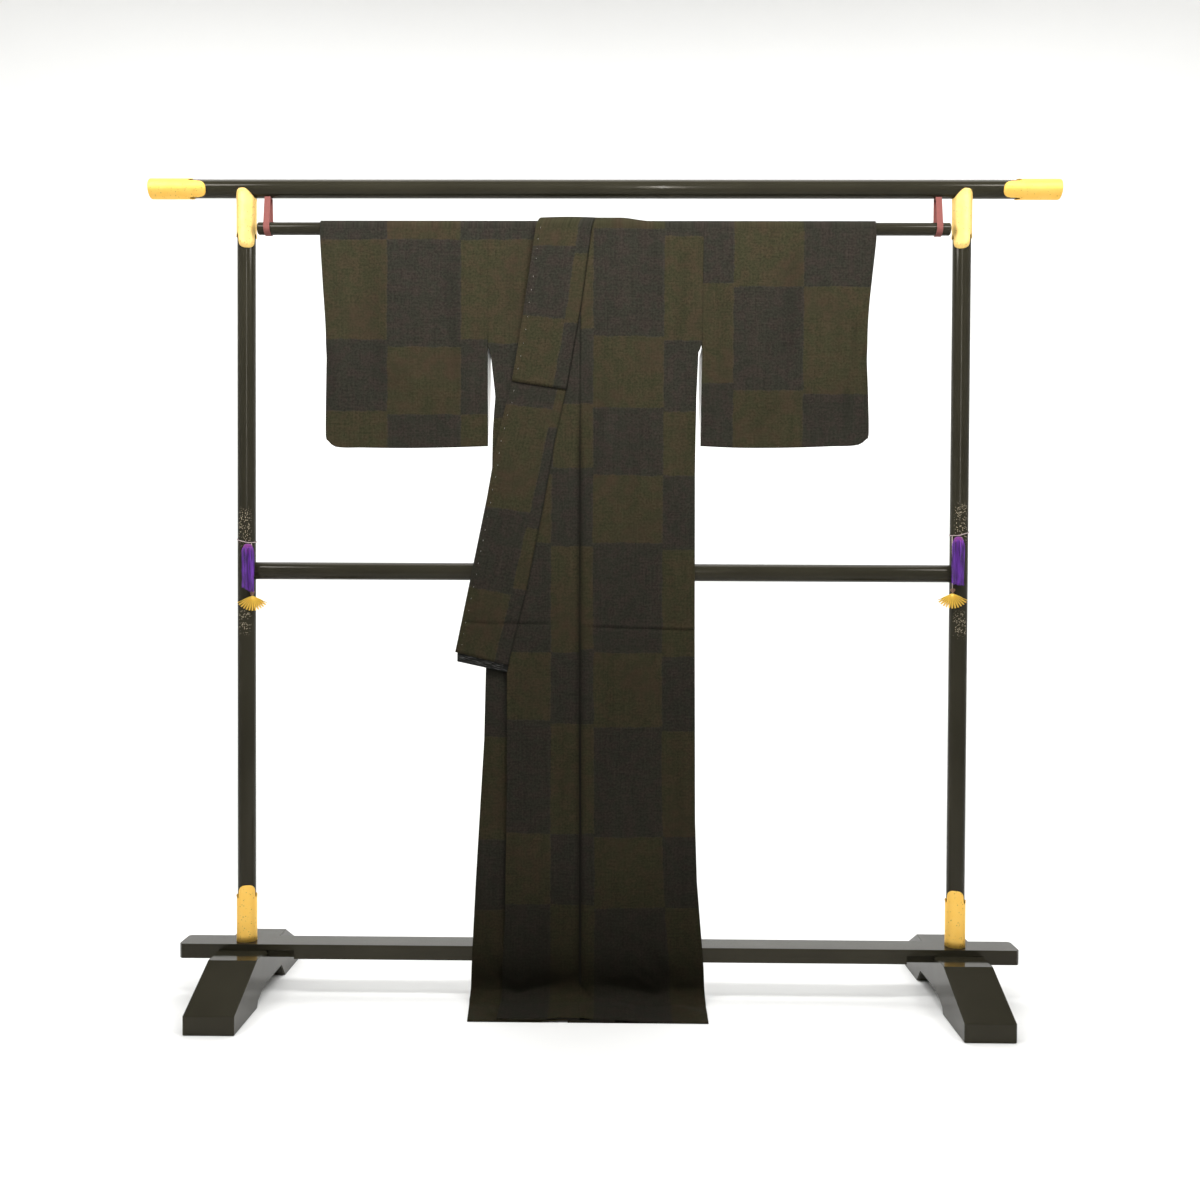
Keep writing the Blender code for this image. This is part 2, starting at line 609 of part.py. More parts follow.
def build_fan(name, pivot, group, cutters):
    """A small open folding fan of gilt metal, hung by a knob at its rivet."""
    rows = []
    for share in (0.12, 1.0):
        row = []
        for index in range(2 * FAN_RIBS + 1):
            angle = math.radians(mix(-FAN_SPREAD, FAN_SPREAD, index / (2 * FAN_RIBS)))
            fold = FAN_PLEAT * share * (1 if index % 2 else -1)
            row.append((pivot.x + FAN_RADIUS * share * math.sin(angle), pivot.y + fold,
                        pivot.z - FAN_DROP * FAN_RADIUS * share * math.cos(angle)))
        rows.append(row)
    fan = sheet(f"fan_{name}", rows, "gilt", group, FAN_WALL)
    bm = bmesh.new()
    bmesh.ops.create_uvsphere(bm, u_segments=11, v_segments=6, radius=KNOB_RADIUS)
    bmesh.ops.scale(bm, verts=bm.verts, vec=(1.0, 0.55, 0.8))
    knob = add_object(f"knob_{name}", bm, "gilt", group)
    knob.location = (pivot.x, pivot.y, pivot.z - 0.8 * KNOB_RADIUS)
    cutter(knob, cutters)
    boolean(fan, knob, "UNION")


def loop_path(tassel_x, radius):
    """A cord drawn round a post and out to the tassel that hangs from it, seen from above."""
    out = (tassel_x, TASSEL_Y)
    facing = math.atan2(out[1], out[0])
    half = touch_angle(out, radius)
    path = [out]
    for index in range(LOOP_STEPS + 1):
        angle = mix(facing + half, facing - half + 2 * math.pi, index / LOOP_STEPS)
        path.append((radius * math.cos(angle), radius * math.sin(angle)))
    return path


def string_y(path, x):
    """Depth of the string in front of the post, at an offset across it."""
    out = path[0]
    touch = path[1] if (path[1][0] - out[0]) * (x - out[0]) > 0 else path[-1]
    return mix(out[1], touch[1], (x - out[0]) / (touch[0] - out[0]))


def build_ornaments(group, cutters):
    """On each post: a cord round it, with a tassel and a fan hanging from the cord."""
    for piece in ORNAMENTS:
        name = piece["name"]
        middle = piece["side"] * POST_X
        path = loop_path(piece["tassel_x"], POST_RADIUS + GAP + 1.3 * LOOP_RADIUS)
        ring = [(middle + x, y, piece["loop_z"] + piece["tilt"] * x + 0.1 * y) for x, y in path]
        cord_mesh(f"tassel_loop_{name}", ring, LOOP_RADIUS, True, "cord", group)
        top = Vector(ring[0])
        top.z -= LOOP_RADIUS + GAP
        build_tassel(name, top, group, cutters)

        start_y = string_y(path, piece["cord_top_x"])
        start = Vector((middle + piece["cord_top_x"], start_y, piece["loop_z"] + piece["tilt"]
                        * piece["cord_top_x"] + 0.1 * start_y - LOOP_RADIUS - 2 * GAP))
        pivot = Vector((middle + piece["fan_x"], FAN_Y, piece["fan_z"]))
        end = pivot + Vector((0, 0, GAP))
        rest = Vector((end.x, -(MID_RAIL_RADIUS + GAP + FAN_CORD_RADIUS),
                       MID_RAIL_Z + MID_RAIL_RADIUS))
        points = [start.lerp(rest, index / 8) for index in range(8)]
        points += [rest.lerp(end, index / 16) for index in range(17)]
        cord_mesh(f"fan_cord_{name}", points, FAN_CORD_RADIUS, False, "cord", group)
        build_fan(name, pivot, group, cutters)


# ---- kimono ------------------------------------------------------------------------------
def pleat_share(x):
    """1 where the back's layers lie over each other, 0 where it is single."""
    left = smooth_step((x - (PLEAT_LEFT - SETTLE - PLEAT_RAMP)) / PLEAT_RAMP)
    right = smooth_step(((PLEAT_RIGHT + SETTLE + PLEAT_RAMP) - x) / PLEAT_RAMP)
    return left * right


def rear_y(z):
    """Depth of the rearmost layer where nothing pushes it out."""
    for upper, lower in zip(REAR_PATH, REAR_PATH[1:]):
        if z >= lower["z"]:
            share = (upper["z"] - z) / (upper["z"] - lower["z"])
            return mix(upper["y"], lower["y"], min(max(share, 0.0), 1.0))
    return REAR_PATH[-1]["y"]


def side_pull(x, z):
    """How far a side seam draws front and back together, 1 on the seam itself."""
    edge = min(x - read_table(LEFT_SIDE, z), read_table(RIGHT_SIDE, z) - x)
    return smooth_step(1 - edge / SEAM_RAMP) * smooth_step((FREE_SIDE_Z + SIDE_FADE - z) / SIDE_FADE)


def lying(offset, drop):
    """Depth and height past the bend, where drop runs on from 0 at the bend's start.

    offset is the layer's distance in front of the rearmost one, and so above it on the floor.
    """
    turn_y = REAR_PATH[-1]["y"] - BEND_RADIUS
    quarter = BEND_RADIUS * math.pi / 2
    if drop < quarter:
        angle = drop / BEND_RADIUS
        radius = BEND_RADIUS - offset
        return turn_y + radius * math.cos(angle), BEND_Z - radius * math.sin(angle)
    return turn_y - (drop - quarter), BEND_Z - BEND_RADIUS + offset


def front_point(x, z, plies):
    """A point of the front, so many plies before its innermost layer."""
    resting = PLY + 2 * PLEAT_PLY * pleat_share(x)
    offset = resting + plies * PLY
    if z < BEND_Z:
        y, height = lying(offset, BEND_Z - z)
        return (x, y, height)
    y = front_line(z, resting)
    middle = (y + rear_y(z)) / 2 - PLY / 2
    y = mix(y, middle, side_pull(x, z)) if plies < 1 else y
    return (x, y - plies * PLY, z)


def back_push(z):
    """How far the back is pushed out by what lies under its pleat, at a height."""
    if z >= PLEAT_TOP_Z:
        return BEHIND_BODY
    if z >= PLEAT_CLOSED_Z:
        return mix(2 * PLEAT_PLY, BEHIND_BODY, (z - PLEAT_CLOSED_Z) / (PLEAT_TOP_Z - PLEAT_CLOSED_Z))
    rail = REAR_PATH[1]["z"]
    return 2 * PLEAT_PLY * max((z - rail) / (PLEAT_CLOSED_Z - rail), 0.0)


def back_point(x, z, layer):
    """A point of the back: layer 0 is the outer one, 1 the middle and 2 the inner one."""
    share = pleat_share(x)
    push = back_push(z)
    depth = {0: 0.0, 1: PLEAT_PLY, 2: max(2 * PLEAT_PLY, push)}
    inner = mix(depth[math.floor(layer)], depth[math.ceil(layer)], layer - math.floor(layer))
    if z < BEND_Z:
        y, height = lying(inner * share, BEND_Z - z)
        return (x, y, height)
    y = rear_y(z) + (push - inner) * share
    middle = (front_line(z, PLY) + y) / 2 + PLY / 2
    return (x, mix(y, middle, side_pull(x, z)), z)


def rod_point(x, angle, lift):
    """A point over the rod: angle 0 is in front of it, and pi behind it."""
    radius = ROD_WRAP + lift
    return (x, ROD_Y - radius * math.cos(angle), ROD_Z + radius * math.sin(angle))


def rod_angles():
    return [math.pi * step / ROD_STEPS for step in range(ROD_STEPS + 1)]


def hem_heights():
    """Heights of the rows from the rod down, then rows past the bend as negative heights."""
    quarter = BEND_RADIUS * math.pi / 2
    turn = [BEND_Z - quarter * step / TURN_STEPS for step in range(TURN_STEPS + 1)]
    run = (REAR_PATH[-1]["y"] - BEND_RADIUS) - HEM_Y
    floor = [BEND_Z - quarter - run * share for share in FLOOR_STEPS[1:]]
    return list(BODY_HEIGHTS) + turn + floor


def front_edge(z):
    """Where a front's cloth ends towards the opening: at the collar, then at the okumi."""
    return max(read_table(COLLAR_SEAM, z), read_table(OKUMI_SEAM, z)) \
        if z < COLLAR_SEAM[1]["z"] else read_table(COLLAR_SEAM, z)


def cross_columns(inner, z, side):
    """Columns of a body panel from an inner edge out to its side seam."""
    if side > 0:
        edge = read_table(RIGHT_SIDE, z)
        settle = PLEAT_RIGHT + SETTLE
    else:
        edge = read_table(LEFT_SIDE, z)
        settle = PLEAT_LEFT - SETTLE
    columns = [inner]
    columns += [settle + side * PLEAT_RAMP * share for share in (0.0, 0.5, 1.0)]
    return columns + [edge - side * SIDE_STRIP, edge]


def left_lift(x):
    """How many plies the left front lies before the innermost one."""
    return LEVEL_LEFT_FRONT * (pleat_share(x) if x > 0 else 1.0)


def build_body(name, side, group):
    """One length of cloth over the shoulder: front, back, and its half of the back pleat."""
    heights = hem_heights()
    fold_x = PLEAT_LEFT if side > 0 else PLEAT_RIGHT
    outer_layer = 0 if side > 0 else 2
    pleat_columns = 3 + TURN_STEPS
    rows = []
    for z in reversed(heights):
        row = [None] * pleat_columns
        for x in cross_columns(front_edge(z) + side * GAP / 2, z, side):
            row.append(front_point(x, z, left_lift(x) if side > 0 else 0))
        rows.append(row)
    for angle in rod_angles():
        turned = angle / math.pi
        inner = mix(read_table(COLLAR_SEAM, ROD_Z), NECK_SEAM_X, min(2 * turned, 1.0))
        row = [None] * pleat_columns
        for x in cross_columns(inner + GAP / 2, ROD_Z, side):
            lift = mix(left_lift(x) * PLY, BEHIND_BODY * pleat_share(x), turned)
            row.append(rod_point(x, angle, lift if side > 0 else 0.0))
        rows.append(row)
    for z in [NECK_Z] + heights:
        row = [None] * (1 + TURN_STEPS)
        if z <= PLEAT_TOP_Z:
            seam = BACK_SEAM - side * GAP / 2
            row = [back_point(seam, z, 1), back_point(mix(seam, fold_x, FOLD_START), z, 1)]
            for step in range(1, TURN_STEPS):
                angle = math.pi * step / TURN_STEPS
                layer = (1 + math.cos(angle)) / 2
                x = fold_x - side * PLEAT_PLY / 2 * math.sin(angle)
                row.append(back_point(x, z, layer if side > 0 else 2 - layer))
        row.append(back_point(fold_x, z, outer_layer))
        row.append(back_point(mix(fold_x, NECK_SEAM_X, 0.5), z, outer_layer))
        row += [back_point(x, z, outer_layer) for x in cross_columns(NECK_SEAM_X, z, side)]
        rows.append(row)
    return sheet(name, rows, "silk", group, CLOTH)


def build_okumi(name, left, group):
    """Overlap piece: the wearer's left one lies face out, the right one is folded back."""
    rows = []
    for z in [OKUMI_TOP_Z] + [height for height in hem_heights() if height < OKUMI_TOP_Z]:
        seam = read_table(OKUMI_SEAM, z)
        edge = read_table(COLLAR_SEAM, z) if z > OKUMI_EDGE[0]["z"] else read_table(OKUMI_EDGE, z)
        if left:
            row = [front_point(mix(seam - GAP / 2, edge + GAP / 2, share), z, LEVEL_LEFT_FRONT)
                   for share in BAND_SHARES]
        else:
            row = []
            for step in range(TURN_STEPS + 1):
                angle = math.pi * step / TURN_STEPS
                row.append(front_point(seam + GAP / 2 + PLY * math.sin(angle), z,
                                       1 - math.cos(angle)))
            row += [front_point(mix(seam, edge + 0.001, share), z, LEVEL_RIGHT_FRONT)
                    for share in BAND_SHARES[1:]]
        rows.append(row)
    return sheet(name, rows, "silk", group, CLOTH)


def band_rows(end, plies, inset):
    """Rows of a collar band on the front, from its end up to the rod."""
    heights = [end["seam"]] + [z for z in reversed(BODY_HEIGHTS) if z > end["seam"]]
    rows = []
    for high in heights:
        low = mix(ROD_Z, end["edge"], (ROD_Z - high) / (ROD_Z - end["seam"]))
        outer = read_table(COLLAR_EDGE, low) + inset
        inner = read_table(COLLAR_SEAM, high) - GAP / 2
        rows.append([front_point(mix(outer, inner, across), mix(low, high, across), plies)
                     for across in BAND_SHARES])
    return rows


def over_rod(start, end, inset):
    """Rows of a collar band over the rod, front to back, with its lift at each end."""
    rows = []
    for angle in rod_angles():
        turned = angle / math.pi
        settle = min(2 * turned, 1.0)
        outer = mix(read_table(COLLAR_EDGE, ROD_Z), NECK_EDGE_X, settle) + inset
        inner = mix(read_table(COLLAR_SEAM, ROD_Z), NECK_SEAM_X, settle) - GAP / 2
        rows.append([rod_point(mix(outer, inner, across), angle, mix(start, end, turned))
                     for across in BAND_SHARES])
    return rows


def flap_rows(out, back, inset):
    """Rows behind the rod: down, a turn, and up again."""
    rows = []
    middle = (out + back) / 2
    radius = (out - back) / 2
    spots = [(out, FLAP_TOP_Z)]
    for step in range(TURN_STEPS + 1):
        angle = math.pi * step / TURN_STEPS
        spots.append((middle + radius * math.cos(angle), FLAP_TURN_Z - radius * math.sin(angle)))
    spots.append((back, FLAP_TOP_Z))
    for push, z in spots:
        rows.append([(mix(NECK_EDGE_X + inset, NECK_SEAM_X - GAP / 2, across),
                      rear_y(z) + push, z) for across in BAND_SHARES])
    return rows


def build_collar(group):
    """One band: up the left front, over the rod, folded behind it, and down the right front."""
    rows = band_rows(LEFT_COLLAR_END, LEVEL_LEFT_FRONT, 0.0)
    rows += over_rod(LEVEL_LEFT_FRONT * PLY, BEHIND_LEFT_COLLAR, 0.0)
    rows += flap_rows(BEHIND_LEFT_COLLAR, BEHIND_RIGHT_COLLAR, 0.0)
    rows += reversed(over_rod(LEVEL_RIGHT_FRONT * PLY, BEHIND_RIGHT_COLLAR, 0.0))
    rows += reversed(band_rows(RIGHT_COLLAR_END, LEVEL_RIGHT_FRONT, UNDER_INSET))
    sheet("collar", rows, "silk", group, CLOTH)


def build_over_collar(group):
    """Second band over the collar's upper part, sewn along both of its edges."""
    rows = band_rows(OVER_COLLAR_END, LEVEL_LEFT_OVER_COLLAR, 0.0)
    rows += over_rod(LEVEL_LEFT_OVER_COLLAR * PLY, BEHIND_LEFT_OVER_COLLAR, 0.0)
    rows += flap_rows(BEHIND_LEFT_OVER_COLLAR, BEHIND_RIGHT_OVER_COLLAR, 0.0)
    rows += reversed(over_rod(LEVEL_RIGHT_OVER_COLLAR * PLY, BEHIND_RIGHT_OVER_COLLAR, 0.0))
    rows += reversed(band_rows(OVER_COLLAR_END, LEVEL_RIGHT_OVER_COLLAR, UNDER_INSET))
    sheet("over_collar", rows, "silk", group, CLOTH)


def front_line(z, resting):
    """Depth of the innermost front layer, from the rod down to the middle rail."""
    rail = REAR_PATH[1]
    share = min(max((ROD_Z - z) / (ROD_Z - rail["z"]), 0.0), 1.0)
    return mix(ROD_Y - ROD_WRAP, rear_y(min(z, rail["z"])) - resting, share)


def build_sleeve(piece, group):
    """A flat bag round the rod, open at the cuff and along the body."""
    outward = 1 if piece["outer"][0]["x"] > 0 else -1
    walls = []
    for drop in SLEEVE_DROPS + (1.0,):
        front = []
        back = []
        for share, bottom in zip(SLEEVE_SHARES, piece["bottom"]):
            z = mix(ROD_Z, bottom, drop)
            outer = read_table(piece["outer"], z)
            x = mix(read_table(piece["inner"], z) + outward * GAP, outer, share)
            near = front_line(z, PLY)
            far = rear_y(z)
            closing = smooth_step((drop - SLEEVE_CLOSE_FROM) / (1 - SLEEVE_CLOSE_FROM))
            sewn = smooth_step(1 - abs(x - outer) / SEAM_RAMP)
            sewn *= smooth_step((CUFF_Z + SEAM_RAMP - z) / (2 * SEAM_RAMP))
            half = mix((far - near) / 2, SLEEVE_HALF, max(closing, sewn))
            front.append((x, (near + far) / 2 - half, z))
            back.append((x, (near + far) / 2 + half, z))
        walls.append((front, back))
    under = [(x, y + SLEEVE_HALF, z - SLEEVE_HALF) for x, y, z in walls[-1][0]]
    rows = [front for front, back in walls] + [under] + [back for front, back in reversed(walls)]
    inner = piece["inner"][0]["x"] + outward * GAP
    outer = piece["outer"][0]["x"]
    for angle in reversed(rod_angles()):
        rows.append([rod_point(mix(inner, outer, share), angle, 0.0) for share in SLEEVE_SHARES])
    sheet(piece["name"], rows, "silk", group, CLOTH, ring=True)


def main():
    clear_scene()
    group = collection(OBJECT_NAME)
    cutters = collection("cutters")
    build_rails(group, cutters)
    build_posts(group, cutters)
    build_fittings(group)
    build_caps(group)
    build_base(group, cutters)
    build_straps(group)
    build_ornaments(group, cutters)
    build_body("body_left", 1, group)
    build_body("body_right", -1, group)
    build_okumi("okumi_left", True, group)
    build_okumi("okumi_right", False, group)
    build_collar(group)
    build_over_collar(group)
    for piece in SLEEVES:
        build_sleeve(piece, group)


main()
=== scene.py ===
"""Silk kimono on a lacquered kimono stand: the finished look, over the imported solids.

Sizes are in metres. X runs to the right, Y away from the viewer and Z up, and the origin is on
the floor under the middle of the stand. The wearer's left is on the +X side.
"""

import math
import random

import bmesh
import bpy
from bpy.props import FloatProperty, FloatVectorProperty, IntProperty, PointerProperty
from bpy.types import Operator, Panel, PropertyGroup
from mathutils import Matrix, Vector


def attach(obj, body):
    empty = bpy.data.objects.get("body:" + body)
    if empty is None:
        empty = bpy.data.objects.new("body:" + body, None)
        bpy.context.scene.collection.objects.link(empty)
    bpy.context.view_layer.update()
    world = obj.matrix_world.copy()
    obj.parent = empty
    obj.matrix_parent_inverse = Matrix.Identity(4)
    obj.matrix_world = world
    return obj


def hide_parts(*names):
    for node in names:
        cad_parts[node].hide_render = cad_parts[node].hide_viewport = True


bl_info = {
    "name": "Silk kimono on a lacquered stand",
    "version": (1, 0, 0),
    "blender": (4, 5, 0),
    "location": "3D View > Sidebar > Kimono",
    "description": "Builds a checked silk kimono hung on its lacquered stand",
    "category": "Add Mesh",
}

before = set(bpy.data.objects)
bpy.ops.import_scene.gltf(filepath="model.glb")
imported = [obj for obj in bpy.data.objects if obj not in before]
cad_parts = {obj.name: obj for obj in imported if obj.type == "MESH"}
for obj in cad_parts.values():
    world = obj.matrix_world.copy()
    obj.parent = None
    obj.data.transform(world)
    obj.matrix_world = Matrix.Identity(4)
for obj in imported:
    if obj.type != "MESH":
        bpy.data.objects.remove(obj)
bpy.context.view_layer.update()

# ---- stand: the same sizes as its solids ---------------------------------------------------
GAP = 0.0003
RAIL_RADIUS = 0.0183
RAIL_Z = 1.6165
STAND_HALF_LENGTH = 0.9055
POST_RADIUS = 0.0180
POST_X = 0.7130
MID_RAIL_RADIUS = 0.0175
MID_RAIL_Z = 0.8534
ROD_RADIUS = 0.0125
ROD_Y = -0.0100
ROD_Z = 1.5344
ROD_HALF_LENGTH = 0.6867
PLANK_TOP = 0.1073
PLANK_HALF_DEPTH = 0.0278
FITTING_WALL = 0.0010
CAP_RADIUS = 0.0200
CAP_EDGE = 0.8200
CAP_TONGUE = 0.7890
TOP_FITTING_RADIUS = 0.0190
TOP_FITTING_EDGE = 1.5200
TOP_FITTING_TONGUE = 1.4945
RAIL_TONGUE_TIP = 1.6125
BOTTOM_FITTING_RADIUS = 0.0193
BOTTOM_FITTING_EDGE = 0.2000
BOTTOM_FITTING_TONGUE = 0.2226
TONGUE_HALF_WIDTH = 0.0160
STRAP_X = (-0.6665, 0.6632)
STRAP_SKEW = (-0.0030, 0.0018)     # how far the top of each strap hangs out of line
STRAP_WIDTH = 0.0120
STRAP_WALL = 0.0015
STRAP_TOP_HALF = 0.0070
ORNAMENTS = (
    {"name": "left", "side": -1, "loop_z": 0.9135, "tilt": -0.16, "tassel_x": 0.0116,
     "cord_top_x": 0.0150, "fan_x": 0.0180, "fan_z": 0.8030, "cord_length": 0.106,
     "slant": 0.0045},
    {"name": "right", "side": 1, "loop_z": 0.9335, "tilt": 0.19, "tassel_x": -0.0095,
     "cord_top_x": -0.0165, "fan_x": -0.0180, "fan_z": 0.8145, "cord_length": 0.115,
     "slant": 0.0010},
)
LOOP_RADIUS = 0.0008
LOOP_STEPS = 16
TASSEL_LENGTH = 0.0980
TASSEL_HALF_WIDTH = 0.0132
TASSEL_HALF_DEPTH = 0.0085
TASSEL_Y = -0.0293
HEAD_HALF_HEIGHT = 0.0070
FAN_CORD_RADIUS = 0.0009
FAN_Y = -0.0204
FAN_RADIUS = 0.0337
FAN_DROP = 0.88
FAN_SPREAD = 64.0
FAN_RIBS = 12
FAN_PLEAT = 0.0010
KNOB_RADIUS = 0.0045

# ---- kimono: the same paths as its solids --------------------------------------------------
CLOTH = 0.0012
PLY = CLOTH + GAP
ROD_WRAP = ROD_RADIUS + GAP + CLOTH / 2
PLEAT_PLY = 0.0018
PLEAT_LOW_X = -0.0570
PLEAT_HIGH_X = 0.0300
BACK_SEAM = -0.0135
PLEAT_RAMP = 0.0600
SETTLE = 0.0040
LEVEL_RIGHT_OVER_COLLAR = 1
LEVEL_RIGHT_FRONT = 2
LEVEL_LEFT_FRONT = 3
LEVEL_LEFT_OVER_COLLAR = 4
BEHIND_RIGHT_OVER_COLLAR = 1 * PLY
BEHIND_RIGHT_COLLAR = 2 * PLY
BEHIND_LEFT_COLLAR = 0.0054
BEHIND_LEFT_OVER_COLLAR = BEHIND_LEFT_COLLAR + PLY
BEHIND_BODY = BEHIND_LEFT_OVER_COLLAR + PLY
FLAP_TURN_Z = 1.4460
FLAP_TOP_Z = 1.4900
NECK_Z = 1.5080
PLEAT_TOP_Z = 1.4250
PLEAT_CLOSED_Z = 1.3600
BEND_Z = 0.0389
BEND_RADIUS = BEND_Z - CLOTH / 2 - GAP
HEM_Y = -0.1410
FREE_SIDE_Z = 1.1500
SEAM_RAMP = 0.0200
CUFF_Z = 1.2900
RAIL_REST_Z = 0.8750
REAR_PATH = (           # height, depth of the rearmost layer
    (ROD_Z, ROD_Y + ROD_WRAP),
    (RAIL_REST_Z, -(MID_RAIL_RADIUS + GAP + CLOTH / 2)),
    (0.8300, -(MID_RAIL_RADIUS + GAP + CLOTH / 2)),
    (0.1120, -(PLANK_HALF_DEPTH + GAP + CLOTH / 2)),
    (BEND_Z, -(PLANK_HALF_DEPTH + GAP + CLOTH / 2)),
)
QUARTER = BEND_RADIUS * math.pi / 2
TURN_Y = REAR_PATH[-1][1] - BEND_RADIUS
HEM_RUN = BEND_Z - QUARTER - (TURN_Y - HEM_Y)

# Edges and seams: height, place along X. Left and right are the wearer's.
LEFT_SIDE = ((1.5344, 0.1990), (1.3000, 0.1972), (1.2950, 0.1905), (1.2000, 0.1866),
             (1.0500, 0.1850), (0.7200, 0.1863), (0.3600, 0.1888), (0.2400, 0.1930),
             (0.0740, 0.2068), (0.0000, 0.2100), (-0.1000, 0.2079))
RIGHT_SIDE = ((1.5344, -0.2270), (1.3000, -0.2264), (1.2760, -0.2200), (1.2000, -0.2114),
              (1.1300, -0.2169), (0.9000, -0.2200), (0.6590, -0.2286), (0.5200, -0.2312),
              (0.2400, -0.2465), (0.0740, -0.2541), (0.0000, -0.2562), (-0.1000, -0.2482))
COLLAR_SEAM = ((1.5344, -0.0215), (1.3740, -0.0429), (1.2141, -0.0701), (1.1137, -0.0928),
               (0.9878, -0.1144), (0.8144, -0.1484), (0.6673, -0.1842))
COLLAR_EDGE = ((1.5344, -0.1320), (1.3215, -0.1625), (1.2257, -0.1790), (1.1133, -0.2078),
               (1.0032, -0.2267), (0.8738, -0.2528), (0.6935, -0.2892))
NECK_SEAM_X = -0.0105
NECK_EDGE_X = -0.1205
OKUMI_SEAM = ((1.3740, -0.0429), (1.1100, -0.0430), (0.7190, -0.0417), (0.3600, -0.0391),
              (-0.1000, -0.0375))
OKUMI_EDGE = ((0.6574, -0.1861), (0.4140, -0.1853), (0.1600, -0.1880), (0.0574, -0.1927),
              (-0.1000, -0.1930))
LEFT_COLLAR_END = (0.6935, 0.6673)      # height at the free edge, height at the seam
RIGHT_COLLAR_END = (0.6747, 0.6530)
OVER_COLLAR_END = (1.2296, 1.2132)
UNDER_INSET = 0.0040
OKUMI_TOP_Z = 1.3660
SLEEVE_SHARES = (0.0, 0.22, 0.50, 0.78, 0.95, 1.0)
SLEEVES = (
    {"name": "sleeve_right",
     "inner": ((1.5344, -0.2270), (1.3000, -0.2264), (1.0950, -0.2259)),
     "outer": ((1.5344, -0.5597), (1.5100, -0.5595), (1.4280, -0.5547), (1.3240, -0.5483),
               (1.2500, -0.5490), (1.1250, -0.5498), (1.1146, -0.5480)),
     "bottom": (1.1040, 1.1015, 1.0998, 1.1005, 1.1025, 1.1165)},
    {"name": "sleeve_left",
     "inner": ((1.5344, 0.1990), (1.3000, 0.1972), (1.0950, 0.1952)),
     "outer": ((1.5344, 0.5378), (1.5150, 0.5387), (1.4400, 0.5314), (1.3750, 0.5253),
               (1.3100, 0.5227), (1.2000, 0.5266), (1.1310, 0.5282), (1.1180, 0.5260)),
     "bottom": (1.1055, 1.1025, 1.1028, 1.1060, 1.1095, 1.1225)},
)
SLEEVE_CLOSE_FROM = 0.70
SLEEVE_HALF = 0.0009

# ---- the check: 0 is charcoal and 1 is olive -----------------------------------------------
# "edges" are the two lines between a piece's three columns, and each column has its colour at
# the top and the heights where it changes.
LOW_ROWS = (0.905, 0.690, 0.554, 0.335, 0.189)
CHARTS = {
    "body_left": {
        "edges": (((1.53, -0.0178), (0.90, -0.0165), (0.20, -0.0100)),
                  ((1.53, 0.1225), (0.90, 0.1215), (0.45, 0.1220), (0.25, 0.1260),
                   (0.15, 0.1320), (0.07, 0.1400))),
        "columns": ((1, (1.331, 1.183, 1.053, 0.903, 0.694, 0.551, 0.335, 0.190)),
                    (1, (1.524, 1.314, 1.1735, 1.0445, 0.905, 0.689, 0.546, 0.326, 0.187)),
                    (0, (1.511, 1.310, 1.168, 1.045, 0.892, 0.686, 0.539, 0.325, 0.183)))},
    "body_right": {
        "edges": (((1.53, -0.1950), (0.10, -0.1990)), ((1.53, -0.0560), (0.10, -0.0600))),
        "columns": ((0, (1.508, 1.302, 1.154, 1.040, 0.905, 0.690, 0.525, 0.319, 0.179)),
                    (0, (1.508, 1.302, 1.154, 1.040, 0.905, 0.690, 0.525, 0.319, 0.179)),
                    (1, (1.508, 1.302, 1.154, 1.040, 0.905, 0.690, 0.525, 0.319, 0.179)))},
    "okumi_left": {
        "edges": (((1.30, -0.0935), (0.90, -0.0995), (0.10, -0.0970)),
                  ((1.30, 0.0500), (0.10, 0.0500))),
        "columns": ((1, (1.183, 1.045, 0.906, 0.691, 0.556, 0.335, 0.189)),
                    (0, (1.183, 1.055, 0.903, 0.691, 0.552, 0.335, 0.189)),
                    (1, ()))},
    "okumi_right": {
        "edges": (((1.30, -0.1000), (0.10, -0.1000)), ((1.30, 0.0500), (0.10, 0.0500))),
        "columns": ((1, (1.045, *LOW_ROWS)), (0, (1.045, *LOW_ROWS)), (1, ()))},
    "over_collar": {
        "edges": (((1.6, 0.76), (0.0, 0.76)), ((1.6, 2.0), (0.0, 2.0))),
        "columns": ((1, (1.492, 1.350)), (0, (1.4775, 1.344)), (1, ()))},
    "collar": {
        "edges": (((1.6, 0.84), (1.10, 0.84), (0.87, 0.765), (0.69, 0.745)),
                  ((1.6, 2.0), (0.0, 2.0))),
        "columns": ((0, (1.1786, 0.9715, 0.813)), (1, (1.141, 0.943, 0.825)), (1, ()))},
    "sleeve_right": {
        "edges": (((1.6, -0.4266), (1.0, -0.4266)), ((1.6, -0.2799), (1.0, -0.2799))),
        "columns": ((0, (1.5086, 1.3056, 1.1650)), (1, (1.5086, 1.2950, 1.1640)),
                    (0, (1.5086, 1.3080, 1.1633)))},
    "sleeve_left": {
        "edges": (((1.6, 0.2594), (1.0, 0.2594)), ((1.6, 0.3972), (1.0, 0.3972))),
        "columns": ((0, (1.4229, 1.2222)), (1, (1.4171, 1.2126)), (0, (1.4115, 1.2051)))},
}

